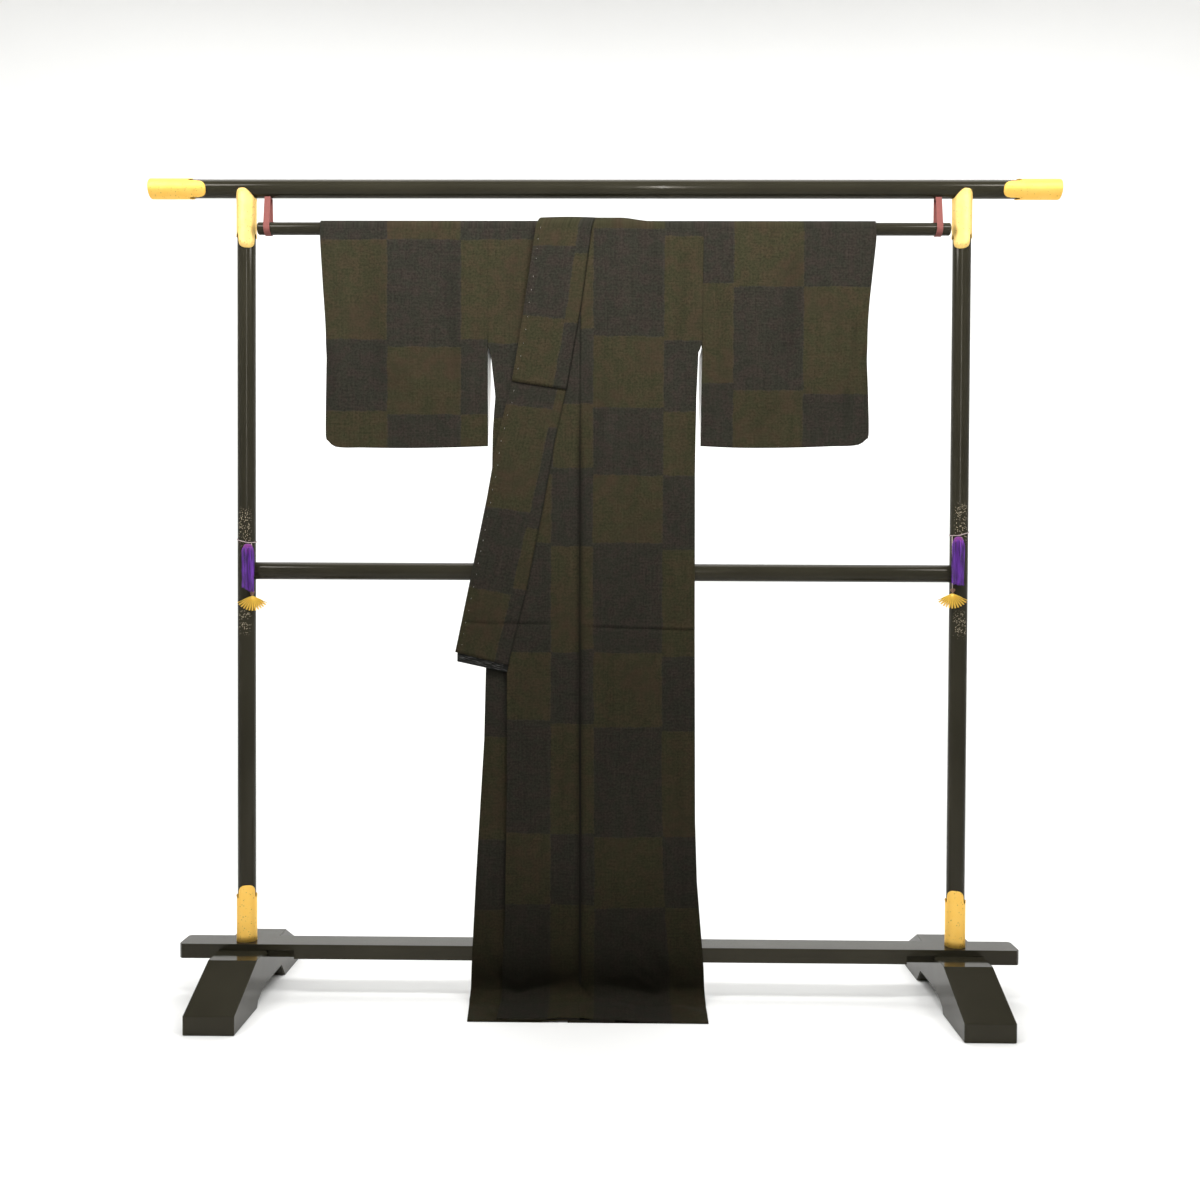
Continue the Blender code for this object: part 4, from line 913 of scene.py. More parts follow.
def falling(top, step):
    """Heights from a top down to the hem, past the bend as falling path values."""
    down = [z for z in steps(top, BEND_Z, step)
            if not STORED[1] - step / 4 < z < STORED[0] + step / 4]
    down = sorted(down + steps(*STORED, STORED_STEP), reverse=True)
    turn = steps(BEND_Z, BEND_Z - QUARTER, 0.005)[1:]
    return down + turn + steps(BEND_Z - QUARTER, HEM_RUN, 0.006)[1:]


def front_edge(z):
    """Where a front's cloth ends: at the collar, then at the overlap piece."""
    if z >= COLLAR_SEAM[1][0]:
        return read_table(COLLAR_SEAM, z)
    return max(read_table(COLLAR_SEAM, z), read_table(OKUMI_SEAM, z))


EDGE_COLUMNS = (0.0, 0.0008, 0.0020, 0.0045)    # closer columns beside a seam


def spread(inner, outer, count):
    """Columns of a panel, close together beside its two edges."""
    side = 1 if outer > inner else -1
    near = [inner + side * gap for gap in EDGE_COLUMNS]
    far = [outer - side * gap for gap in reversed(EDGE_COLUMNS)]
    between = [mix(near[-1], far[0], (index + 1) / (count + 1)) for index in range(count)]
    return near + between + far


def column_place(chart, x, z):
    """Where a point lies in a chart's columns: 1 on its first edge and 2 on its second."""
    first, second = (read_table(edge, z) for edge in chart["edges"])
    return 1 + (x - first) / (second - first)


CLOTH_LAYERS = ("across", "run", "width", "edge", "satin", "shade")
FAR_IN = 0.02       # an "edge" this far in shows no seam


def knit(point, chart, x, z, edge=FAR_IN, shade=0.0):
    """A cloth point with its place in the check, across its panel and from its edge."""
    return (*point, column_place(chart, x, z), z, x, edge, 0.0, shade)


def panel(name, rows, cloth, ring=False):
    """A panel from its rows, with its wall and its finish."""
    made = woven(f"silk_{name}", rows, silk_finish(name, cloth), 70, cloth.wall, ring=ring,
                 values=CLOTH_LAYERS)
    return place(made, "silk", name)


SEAM_DIP = 0.0008
SEAM_DIP_WIDTH = 0.0022


def seam_dip(edge):
    """Cloth rolls inwards at a sewn seam."""
    return SEAM_DIP * hump(edge, SEAM_DIP_WIDTH)


BODY_COLUMNS = 34
PLEAT_COLUMNS = 6
FOLD_STEPS = 6
ARMHOLE_DIP = 0.3           # the armhole's seam sinks less than the others
FRONT_TOP_Z = 1.528         # first row under the rod in front
REAR_TOP_ROWS = (1.526, 1.517)
SETTLED_SHARE = 0.9         # how far the left front sinks onto the layers under it at the hem


def body_rows(side, cloth):
    """One length of cloth over the shoulder: front, back, and its half of the back pleat."""
    chart = CHARTS["body_left" if side > 0 else "body_right"]
    depth = cloth.crease
    sides = LEFT_SIDE if side > 0 else RIGHT_SIDE
    fold_x = PLEAT_LOW_X if side > 0 else PLEAT_HIGH_X
    outer_layer = 0 if side > 0 else 2
    fold_gap = [None] * (PLEAT_COLUMNS + FOLD_STEPS)
    pleat_gap = [None] * PLEAT_COLUMNS

    def lifted(x, z=1.0):
        """Layers under this one: the free left front settles on them towards its hem."""
        if side < 0:
            return 0.0
        settled = smooth_step((HEM_RUN + 0.055 - z) / 0.045) * smooth_step((x + 0.035) / 0.03)
        stacked = pleat_share(x) if x > 0 else 1.0
        return LEVEL_LEFT_FRONT * stacked * (1 - SETTLED_SHARE * settled)

    def behind(x, z, layer, edge=FAR_IN, shade=0.0):
        return knit(back_point(x, z, layer, depth), chart, x, z, edge, shade)

    rows = []
    for z in reversed(falling(FRONT_TOP_Z, cloth.step)):
        inner = front_edge(z) + side * GAP / 2
        outer = read_table(sides, z)
        row = fold_gap + pleat_gap
        for x in spread(inner, outer, BODY_COLUMNS):
            edge = abs(x - inner)
            px, py, pz = front_point(x, z, lifted(x, z), depth)
            dip = max(seam_dip(edge), ARMHOLE_DIP * seam_dip(abs(outer - x)))
            if z >= BEND_Z:
                py += dip
            elif pz > CLOTH * 2:
                pz -= dip
            row.append(knit((px, py, pz), chart, x, z, mix(FAR_IN, edge, clamp(z / BEND_Z)),
                            front_shade(x, z, depth, side)))
        rows.append(row)
    outer = sides[0][1]
    for angle in rod_angles():
        turned = angle / math.pi
        inner = mix(read_table(COLLAR_SEAM, ROD_Z), NECK_SEAM_X, min(2 * turned, 1.0)) + GAP / 2
        row = fold_gap + pleat_gap
        for x in spread(inner, outer, BODY_COLUMNS):
            lift = mix(lifted(x) * PLY, BEHIND_BODY * pleat_share(x), turned)
            row.append(knit(rod_point(x, angle, lift if side > 0 else 0.0), chart, x, ROD_Z,
                            abs(x - inner)))
        rows.append(row)
    seam = BACK_SEAM - side * GAP / 2
    for z in (*REAR_TOP_ROWS, *falling(NECK_Z, cloth.step)):
        row = [] if z <= PLEAT_TOP_Z else list(fold_gap)
        if z <= PLEAT_TOP_Z:
            for index in range(PLEAT_COLUMNS):
                x = mix(seam, mix(seam, fold_x, 0.97), index / (PLEAT_COLUMNS - 1))
                row.append(behind(x, z, 1, abs(x - seam)))
            for step in range(1, FOLD_STEPS + 1):
                angle = math.pi * step / (FOLD_STEPS + 1)
                layer = (1 + math.cos(angle)) / 2
                row.append(behind(fold_x - side * PLEAT_PLY / 2 * math.sin(angle), z,
                                  layer if side > 0 else 2 - layer))
        if z <= NECK_Z:
            row += [behind(mix(fold_x, NECK_SEAM_X, index / PLEAT_COLUMNS), z, outer_layer)
                    for index in range(PLEAT_COLUMNS)]
        else:
            row += pleat_gap
        for x in spread(NECK_SEAM_X, read_table(sides, z), BODY_COLUMNS):
            shade = -relief(("back", "both"), x, z, depth) / HOLLOW_DEPTH
            row.append(behind(x, z, outer_layer, FAR_IN, shade))
        rows.append(row)
    return rows


OKUMI_COLUMNS = 14
NARROW = 0.012              # a piece narrower than this has even columns
FREE_LIFT = 0.0016          # the overlap's free edge stands up a little
FREE_LIFT_WIDTH = 0.03


def okumi_rows(left, cloth):
    """The overlap piece: the wearer's left one lies face out, the right one is folded back."""
    chart = CHARTS["okumi_left" if left else "okumi_right"]
    depth = cloth.crease
    rows = []
    for z in falling(OKUMI_TOP_Z, cloth.step):
        seam = read_table(OKUMI_SEAM, z)
        free = z <= OKUMI_EDGE[0][0]
        edge = read_table(OKUMI_EDGE if free else COLLAR_SEAM, z)
        row = []
        if left:
            start, end = seam - GAP / 2, edge + GAP / 2
            columns = spread(start, end, OKUMI_COLUMNS) if start - end > NARROW else steps(
                start, end, (start - end) / (OKUMI_COLUMNS + 2 * len(EDGE_COLUMNS) - 1))
            for x in columns:
                near = min(abs(x - start), FAR_IN if free else abs(x - end))
                px, py, pz = front_point(x, z, LEVEL_LEFT_FRONT, depth)
                dip = seam_dip(near)
                lift = FREE_LIFT * smooth_step(1 - abs(x - end) / FREE_LIFT_WIDTH) if free else 0.0
                if z < BEND_Z:
                    pz += lift * 0.5 - dip
                else:
                    py += dip - lift
                row.append(knit((px, py, pz), chart, x, z, mix(FAR_IN, near, clamp(z / BEND_Z)),
                                front_shade(x, z, depth, 1)))
        else:
            for step in range(FOLD_STEPS + 1):
                angle = math.pi * step / FOLD_STEPS
                x = seam + GAP / 2 + PLY * math.sin(angle)
                row.append(knit(front_point(x, z, 1 - math.cos(angle), depth), chart, x, z))
            for index in range(1, OKUMI_COLUMNS + 1):
                x = mix(seam, edge + 0.001, index / OKUMI_COLUMNS)
                row.append(knit(front_point(x, z, LEVEL_RIGHT_FRONT, depth), chart, x, z))
        rows.append(row)
    return rows


BAND_COLUMNS = 12
BAND_EDGE = (0.0, 0.01, 0.025, 0.05)    # closer columns beside a band's edges, as shares
COLLAR_WIDTH = 0.11
COLLAR_ARCH = 0.0014        # the bands stand up a little in their middle over the rod
COLLAR_LIFT = 0.0010        # how far the end of each band stands off the front
COLLAR_LIFT_RUN = 0.03
BAND_ROLL = 0.0007          # how far a band's outer edge rolls back
BAND_ROLL_SHARE = 0.06
BAND_TOP_Z = ROD_Z - 0.006
SATIN_SHADE = 0.9           # shade on the satin above a band's end
OVER_COLLAR_LIFT = 0.0012


def band_shares():
    """Shares across a collar band, closer together beside its two edges."""
    last = BAND_EDGE[-1]
    between = [mix(last, 1 - last, (index + 1) / (BAND_COLUMNS + 1))
               for index in range(BAND_COLUMNS)]
    return [*BAND_EDGE, *between, *(1 - share for share in reversed(BAND_EDGE))]


def knit_band(point, chart, across, z=ROD_Z, run=ROD_Z, edge=FAR_IN, satin=0.0, shade=0.0):
    """A point of a collar band with its place in the check, along the band and from its seam."""
    return (*point, column_place(chart, across, z), run, (across - 1) * COLLAR_WIDTH, edge,
            satin, shade)


def band_rows(chart, end, plies, inset, cloth, satin, lift):
    """Rows of a collar band on the front, from its end up to the rod."""
    edge_end, seam_end = end
    rows = []
    fine = steps(STORED[1] - 0.014, STORED[0], STORED_STEP)
    heights = [z for z in steps(seam_end, BAND_TOP_Z, cloth.step)
               if not fine[0] - cloth.step / 4 < z < fine[-1] + cloth.step / 4]
    for high in sorted(heights + [z for z in fine if z > seam_end + cloth.step / 4]):
        low = mix(ROD_Z, edge_end, (ROD_Z - high) / (ROD_Z - seam_end))
        outer = read_table(COLLAR_EDGE, low) + inset
        inner = read_table(COLLAR_SEAM, high) - GAP / 2
        raised = lift * smooth_step(1 - (high - seam_end) / COLLAR_LIFT_RUN)
        row = []
        for across in band_shares():
            x, z = mix(outer, inner, across), mix(low, high, across)
            edge = (1 - across) * abs(inner - outer)
            px, py, pz = front_point(x, z, plies, cloth.crease)
            roll = BAND_ROLL * hump(across, BAND_ROLL_SHARE)
            shade = front_shade(x, z, cloth.crease, 1) * (1 - satin)
            shade += satin * SATIN_SHADE * smooth_step((z - low - 0.010) / 0.012)
            row.append(knit_band((px, py + (seam_dip(edge) + roll - raised), pz), chart, across,
                                 z, (low + high) / 2, edge, satin, shade))
        rows.append(row)
    return rows


def over_rod(chart, start, end):
    """Rows of a collar band over the rod, front to back, with its lift at each end."""
    rows = []
    for angle in rod_angles():
        turned = angle / math.pi
        settle = min(2 * turned, 1.0)
        outer = mix(read_table(COLLAR_EDGE, ROD_Z), NECK_EDGE_X, settle)
        inner = mix(read_table(COLLAR_SEAM, ROD_Z), NECK_SEAM_X, settle) - GAP / 2
        row = []
        for across in band_shares():
            arch = COLLAR_ARCH * math.sin(math.pi * across) * math.sin(angle)
            point = rod_point(mix(outer, inner, across), angle, mix(start, end, turned) + arch)
            row.append(knit_band(point, chart, across))
        rows.append(row)
    return rows


def flap_rows(chart, out, back):
    """Rows behind the rod: down, a turn, and up again."""
    middle, radius = (out + back) / 2, (out - back) / 2
    heights = steps(FLAP_TOP_Z, FLAP_TURN_Z, 0.01)
    spots = [(out, z) for z in heights[:-1]]
    for step in range(FOLD_STEPS + 1):
        angle = math.pi * step / FOLD_STEPS
        spots.append((middle + radius * math.cos(angle), FLAP_TURN_Z - radius * math.sin(angle)))
    spots += [(back, z) for z in steps(FLAP_TURN_Z, FLAP_TOP_Z, 0.01)[1:]]
    return [[knit_band((mix(NECK_EDGE_X, NECK_SEAM_X - GAP / 2, across), rear_y(z) + push, z),
                       chart, across) for across in band_shares()] for push, z in spots]


def collar_rows(name, ends, levels, behind, cloth):
    """A band up the left front, over the rod, folded behind it, and down the right front."""
    chart = CHARTS[name]
    lift, satin = (OVER_COLLAR_LIFT, 0.0) if name == "over_collar" else (COLLAR_LIFT, 1.0)
    return [*band_rows(chart, ends[0], levels[0], 0.0, cloth, 0.0, lift),
            *over_rod(chart, levels[0] * PLY, behind[0]),
            *flap_rows(chart, *behind),
            *reversed(over_rod(chart, levels[1] * PLY, behind[1])),
            *reversed(band_rows(chart, ends[1], levels[1], UNDER_INSET, cloth, satin, 0.0))]


SLEEVE_COLUMNS = 40
SLEEVE_DROPS = (0.01, 0.03, *steps(0.05, 0.985, 0.016), 0.992, 0.996, 0.9985, 1.0)
CUFF_ROLL = 0.0006          # how far the two walls roll apart at the open cuff
CUFF_ROLL_WIDTH = 0.003


def sleeve_section(piece, x, z, drop, sewn, edge, depth):
    """Middle of a sleeve, its crease and half its depth, at a place so far in from its edges."""
    near, far = front_line(z, PLY), rear_y(z)
    closing = smooth_step((drop - SLEEVE_CLOSE_FROM) / (1 - SLEEVE_CLOSE_FROM))
    half = mix((far - near) / 2, SLEEVE_HALF, max(closing, sewn))
    moved = relief((piece["name"],), x, z, depth) * hanging_fade(z)
    return (near + far) / 2, moved * smooth_step(edge / 0.02 + 0.35), half


def sleeve_rows(piece, cloth):
    """A flat bag round the rod, open at the cuff and along the body."""
    chart = CHARTS[piece["name"]]
    outward = 1 if piece["outer"][0][1] > 0 else -1
    shares = [0.0, 0.004, 0.012] + [mix(0.02, 0.97, index / (SLEEVE_COLUMNS - 1))
                                    for index in range(SLEEVE_COLUMNS)] + [0.985, 0.994, 1.0]
    fronts, backs = [], []
    outer_z, outer_x = zip(*reversed(piece["outer"]))
    for drop in SLEEVE_DROPS:
        front, back = [], []
        for share in shares:
            z = mix(ROD_Z, read_smooth(SLEEVE_SHARES, piece["bottom"], share), drop)
            outer = read_smooth(outer_z, outer_x, max(z, outer_z[0]))
            inner = read_table(piece["inner"], z) + outward * GAP
            x = mix(inner, outer, share)
            cuff = abs(x - outer)
            sewn = smooth_step(1 - cuff / SEAM_RAMP)
            sewn *= smooth_step((CUFF_Z + SEAM_RAMP - z) / (2 * SEAM_RAMP))
            middle, moved, half = sleeve_section(piece, x, z, drop, sewn,
                                                 min(cuff, abs(x - inner)), cloth.crease)
            roll = CUFF_ROLL * hump(cuff, CUFF_ROLL_WIDTH) if z > CUFF_Z else 0.0
            shade = -moved / HOLLOW_DEPTH
            middle -= moved
            front.append(knit((x, middle - half - roll, z), chart, x, z, FAR_IN, shade))
            back.append(knit((x, middle + half + roll, z), chart, x, z, FAR_IN, -shade))
        fronts.append(front)
        backs.append(back)
    under = [(x, y + SLEEVE_HALF, z - SLEEVE_HALF, *rest) for x, y, z, *rest in fronts[-1]]
    inner = piece["inner"][0][1] + outward * GAP
    columns = [mix(inner, piece["outer"][0][1], share) for share in shares]
    over = [[knit(rod_point(x, angle, 0.0), chart, x, ROD_Z) for x in columns]
            for angle in reversed(rod_angles())]
    return fronts + [under] + backs[::-1] + over


# ---- bars, fittings and cords --------------------------------------------------------------
BOTH_ENDS = (0, -1)


def bar_object(name, radius, axis, low, high, finish, sides, ends=0.0):
    """A round bar along X or Z. Low and high give its ends at each offset in its section."""
    profile = [(ends * (1 - math.sin(turn)), 1 - ends / radius * (1 - math.cos(turn)))
               for turn in steps(0.0, math.pi / 2, math.pi / 12)] if ends else [(0.0, 1.0)]
    marks = [(0.0, *mark) for mark in reversed(profile)]
    marks += [(share, 0.0, 1.0) for share in (0.25, 0.5, 0.75)]
    marks += [(1.0, *mark) for mark in profile]
    rows = []
    for share, inset, grow in marks:
        row = []
        for turn in circle(sides):
            a, b = radius * math.cos(turn), radius * math.sin(turn)
            along = mix(low(a, b), high(a, b), share) + (inset if share < 0.5 else -inset)
            row.append(axis(along, a * grow, b * grow))
        rows.append(row)
    return woven(name, rows, finish, 60, tube=True, caps=BOTH_ENDS)


def cord_object(name, points, radius, finish, closed=False):
    """A round cord as a bevelled curve."""
    curve = bpy.data.curves.new(name, "CURVE")
    curve.dimensions = "3D"
    curve.bevel_depth = radius
    curve.bevel_resolution = 3
    curve.use_fill_caps = not closed
    spline = curve.splines.new("POLY")
    spline.points.add(len(points) - 1)
    for target, point in zip(spline.points, points):
        target.co = (*point, 1.0)
    spline.use_cyclic_u = closed
    spline.use_smooth = True
    curve.materials.append(finish)
    return add_object(name, curve)


def touch_angle(point, radius):
    """Half the angle at a circle's centre between the lines that touch it from a point."""
    return math.acos(radius / math.hypot(*point))


def loop_path(tassel_x, radius):
    """A cord drawn round a post and out to its tassel, seen from above."""
    out = (tassel_x, TASSEL_Y)
    facing = math.atan2(out[1], out[0])
    half = touch_angle(out, radius)
    path = [out]
    for index in range(LOOP_STEPS + 1):
        angle = mix(facing + half, facing - half + 2 * math.pi, index / LOOP_STEPS)
        path.append((radius * math.cos(angle), radius * math.sin(angle)))
    return path


def string_y(path, x):
    """Depth of the string in front of the post, at an offset across it."""
    out = path[0]
    touch = path[1] if (path[1][0] - out[0]) * (x - out[0]) > 0 else path[-1]
    return mix(out[1], touch[1], (x - out[0]) / (touch[0] - out[0]))


LOOP_CLEAR = 1.3        # radii of the cord between its middle and the post
LOOP_SLOPE = 0.1        # how much lower a loop hangs in front


def ornament_places(piece):
    """The loop's ring, the tassel's top, and the route of the fan's cord."""
    middle = piece["side"] * POST_X
    path = loop_path(piece["tassel_x"], POST_RADIUS + GAP + LOOP_CLEAR * LOOP_RADIUS)

    def on_loop(x, y, below=0.0):
        return (middle + x, y, piece["loop_z"] + piece["tilt"] * x + LOOP_SLOPE * y - below)

    ring = [on_loop(x, y) for x, y in path]
    top = Vector(ring[0]) - Vector((0, 0, LOOP_RADIUS + GAP))
    cord_x = piece["cord_top_x"]
    start = Vector(on_loop(cord_x, string_y(path, cord_x), LOOP_RADIUS + 2 * GAP))
    pivot = Vector((middle + piece["fan_x"], FAN_Y, piece["fan_z"]))
    end = pivot + Vector((0, 0, GAP))
    rest = Vector((end.x, -(MID_RAIL_RADIUS + GAP + FAN_CORD_RADIUS),
                   MID_RAIL_Z + MID_RAIL_RADIUS))
    route = [start.lerp(rest, share) for share in steps(0.0, 1.0, 1 / 8)[:-1]]
    route += [rest.lerp(end, share) for share in steps(0.0, 1.0, 1 / 16)]
    return ring, top, pivot, route


TONGUE = (      # outline of a gilt tongue: share of its half width, share of its reach
    (0.00, 1.00), (0.17, 0.99), (0.33, 0.94), (0.48, 0.82), (0.58, 0.66), (0.645, 0.42),
    (0.66, 0.15), (0.67, -0.05), (0.70, -0.16), (0.76, -0.22), (0.83, -0.20), (0.875, -0.10),
    (0.89, 0.05), (0.92, 0.14), (0.96, 0.12), (1.00, 0.00),
)
TONGUE_SPAN = 1.40      # half the angle that a tongue covers on its bar
TONGUE_LEAN = 0.30      # how far its middle is turned to the stand's middle, or downwards


def lobe(angle):
    """Reach of a gilt tongue: a blunt end with bevelled corners and a hooked notch beside it."""
    held = abs(angle) / TONGUE_SPAN
    for (before, low), (after, high) in zip(TONGUE, TONGUE[1:]):
        if held <= after:
            return mix(low, high, (held - before) / (after - before))
    return 0.0


# ---- settings ------------------------------------------------------------------------------
def colour_property(name, description, default):
    return FloatVectorProperty(name=name, description=description, subtype="COLOR", size=3,
                               min=0.0, max=1.0, default=default)


class KimonoClothSettings(PropertyGroup):
    """Sizes and colours of the cloth."""

    charcoal: colour_property("Charcoal", "Dark blocks of the check", (0.0223, 0.0199, 0.0156))
    olive: colour_property("Olive", "Green-brown blocks of the check", (0.0305, 0.0266, 0.0143))
    lining: colour_property("Lining", "Pale lining inside the sleeves", (0.86, 0.85, 0.82))
    thread: colour_property("Basting", "Basting thread of the collar", (0.20, 0.19, 0.165))
    wall: FloatProperty(name="Cloth", description="Thickness of one lined layer",
                        default=0.0011, min=0.0004, max=0.0012, unit="LENGTH")
    step: FloatProperty(name="Grid step", description="Height of one row of the cloth's mesh",
                        default=0.0075, min=0.004, max=0.03, unit="LENGTH")
    crease: FloatProperty(name="Creases", description="Depth of the creases, 1 as worn",
                          default=1.0, min=0.0, max=1.5, subtype="FACTOR")


class KimonoStandSettings(PropertyGroup):
    """Sizes and colours of the stand."""

    lacquer: colour_property("Lacquer", "Warm black lacquer", (0.0210, 0.0190, 0.0120))
    gilt: colour_property("Gilt", "Gilded brass", (1.0, 0.62, 0.125))
    polish: FloatProperty(name="Polish", description="Roughness of the lacquer", default=0.10,
                          min=0.0, max=0.6, subtype="FACTOR")
    sides: IntProperty(name="Bar sides", description="Facets round each lacquered bar",
                       default=96, min=24, max=192)


class KimonoOrnamentSettings(PropertyGroup):
    """Colours and counts of the soft ornaments."""

    tassel: colour_property("Tassel", "Silk of the tassels", (0.105, 0.022, 0.26))
    head: colour_property("Tassel head", "Binding of the tassels", (0.30, 0.035, 0.36))
    cord: colour_property("Cord", "Cords of the tassels and fans", (0.45, 0.36, 0.34))
    strap: colour_property("Straps", "Tape that carries the rod", (0.215, 0.065, 0.055))
    strands: IntProperty(name="Strands", description="Strands of one tassel", default=150,
                         min=30, max=240)


class KimonoStageSettings(PropertyGroup):
    """Colour of the floor and strength of the light."""

    floor: colour_property("Floor", "Paper floor and backdrop", (0.88, 0.88, 0.87))
    daylight: FloatProperty(name="Daylight", description="Strength of the even light",
                            default=0.25, min=0.0, max=5.0)
    lamp: FloatProperty(name="Lamps", description="Strength of the soft lamps", default=1.0,
                        min=0.0, max=5.0, subtype="FACTOR")


# ---- operators -----------------------------------------------------------------------------
CAMERA_LENS = 33.585
CAMERA_AT = (0.0243, -2.2437, 0.8350)
CAMERA_TURNS = ((0.0119, "Z"), (-0.0166, "X"), (math.pi / 2, "X"), (0.0047, "Z"))


class KIMONO_OT_camera(Operator):
    """Stand the camera before the stand, at eye height of a seated viewer"""

    bl_idname = "kimono.camera"
    bl_label = "Camera"

    def execute(self, context):
        data = bpy.data.cameras.new("camera")
        data.lens = CAMERA_LENS
        data.sensor_width = 36.0
        camera = add_object("camera", data)
        stood = Matrix.Translation(CAMERA_AT)
        for angle, axis in CAMERA_TURNS:
            stood = stood @ Matrix.Rotation(angle, 4, axis)
        camera.matrix_world = stood
        context.scene.camera = camera
        return {"FINISHED"}


TWIST = 5200.0          # how tightly a cord's strands are laid
KNOT_RADIUS = 0.0007
KNOT_SIZE = 0.0015
KNOT_AHEAD = 0.0022     # the knot's place before and above its fan
KNOT_ABOVE = 0.0056
FAN_ROWS = (0.13, 0.30, 0.55, 0.58, 0.72, 1.0)      # rows of the leaf, as shares of its radius
FAN_FOLD = 1.3          # how deep a fold is at the rim, in pleats of the solid
KNOB_SHAPE = (1.0, 0.55, 0.8)
FAN_LEAF = 0.56         # past this share the leaf covers the ribs
FAN_COVER = 0.0004
FAN_WALL = 0.0008
FAN_NOTCH = 0.30        # how deep the rim is cut between two folds
RIB = ((0.04, 0.0005), (0.30, 0.0007), (0.62, 0.0006), (0.66, 0.0002))  # reach, half width
RIB_AHEAD = 0.0012
RIB_FRONT = Vector((0, -0.0007, 0))
RIB_REAR = Vector((0, 0.0005, 0))


class KIMONO_OT_cords(Operator):
    """Tie the cords round the posts and hang the fans' cords from them"""

    bl_idname = "kimono.cords"
    bl_label = "Cords and fans"

    def execute(self, context):
        ornament = context.scene.kimono_ornaments
        twisted = thread_finish("cord_twisted", ornament.cord, 0.6, TWIST)
        warm = (ornament.cord[0] * 0.67, ornament.cord[1] * 0.45, ornament.cord[2] * 0.30)
        knotted = thread_finish("cord_knotted", warm, 0.6, TWIST)
        metal = fan_finish(context.scene.kimono_stand)
        for piece in ORNAMENTS:
            name = piece["name"]
            ring, _, pivot, route = ornament_places(piece)
            loop = cord_object(f"loop_{name}", ring, LOOP_RADIUS, twisted, closed=True)
            place(loop, "cord", f"tassel_loop_{name}")
            fan = place(self.fan(name, pivot, metal), "gilt", f"fan_{name}")
            cord = cord_object(f"cord_of_fan_{name}", route, FAN_CORD_RADIUS, twisted)
            place(cord, "cord", f"fan_cord_{name}")
            place(cord_object(f"knot_{name}", self.knot(pivot), KNOT_RADIUS, knotted,
                              closed=True), "cord")
        return {"FINISHED"}

    def knot(self, pivot):
        """A small three-lobed knot on the cord, just above its fan."""
        return [(pivot.x + KNOT_SIZE * (math.sin(turn) + 2 * math.sin(2 * turn)),
                 pivot.y - KNOT_AHEAD - KNOT_SIZE * math.sin(3 * turn),
                 pivot.z + KNOT_ABOVE + KNOT_SIZE * (math.cos(turn) - 2 * math.cos(2 * turn)))
                for turn in circle(36)]

    def fan(self, name, pivot, metal):
        """A small open folding fan: a pleated leaf, its ribs and its rivet knob."""
        bm = bmesh.new()
        rows = []
        count = 4 * FAN_RIBS
        for share in FAN_ROWS:
            row = []
            for index in range(count + 1):
                angle = math.radians(mix(-FAN_SPREAD, FAN_SPREAD, index / count))
                crest = math.cos(index * math.pi / 2)
                fold = -FAN_FOLD * FAN_PLEAT * share * crest
                fold -= FAN_COVER if share > FAN_LEAF else 0.0
                reach = share - (FAN_NOTCH * clamp(-crest) if share == 1.0 else 0.0)
                # The value after each point is the painted shade of the pleats' valleys, which
                # grows towards the rim
                row.append((pivot.x + FAN_RADIUS * reach * math.sin(angle), pivot.y + fold,
                            pivot.z - FAN_DROP * FAN_RADIUS * reach * math.cos(angle),
                            share * clamp(0.10 - 0.90 * crest)))
            rows.append(row)
        weave_rows(bm, rows, values=("valley",))
        bmesh.ops.solidify(bm, geom=bm.faces[:], thickness=FAN_WALL)
        for index in range(FAN_RIBS + 1):
            angle = math.radians(mix(-FAN_SPREAD, FAN_SPREAD, index / FAN_RIBS))
            out = Vector((math.sin(angle), 0, -FAN_DROP * math.cos(angle)))
            side = Vector((math.cos(angle), 0, math.sin(angle)))
            base = pivot + Vector((0, -RIB_AHEAD, 0))
            rib = []
            for reach, half in RIB:
                at = base + out * FAN_RADIUS * reach
                rib.append([tuple(at + side * half + RIB_REAR), tuple(at + RIB_FRONT),
                            tuple(at - side * half + RIB_REAR)])
            weave_rows(bm, rib, tube=True, caps=BOTH_ENDS)
        knob = bmesh.ops.create_uvsphere(bm, u_segments=24, v_segments=12, radius=KNOB_RADIUS)
        bmesh.ops.scale(bm, verts=knob["verts"], vec=KNOB_SHAPE)
        bmesh.ops.translate(bm, verts=knob["verts"],
                            vec=pivot - Vector((0, 0, KNOB_SHAPE[2] * KNOB_RADIUS)))
        return mesh_object(f"folding_fan_{name}", bm, metal, angle=35)


RAIL_CLEAR = 0.0010     # room between the rail's ends and the inside of their caps
ROD_ROUNDING = 0.0035
FLECKED = (             # posts: side, and the two bands of flecks on each
    ("left", -1, ((0.730, 0.775), (0.905, 0.975))),
    ("right", 1, ((0.730, 0.775), (0.915, 0.990))),
)


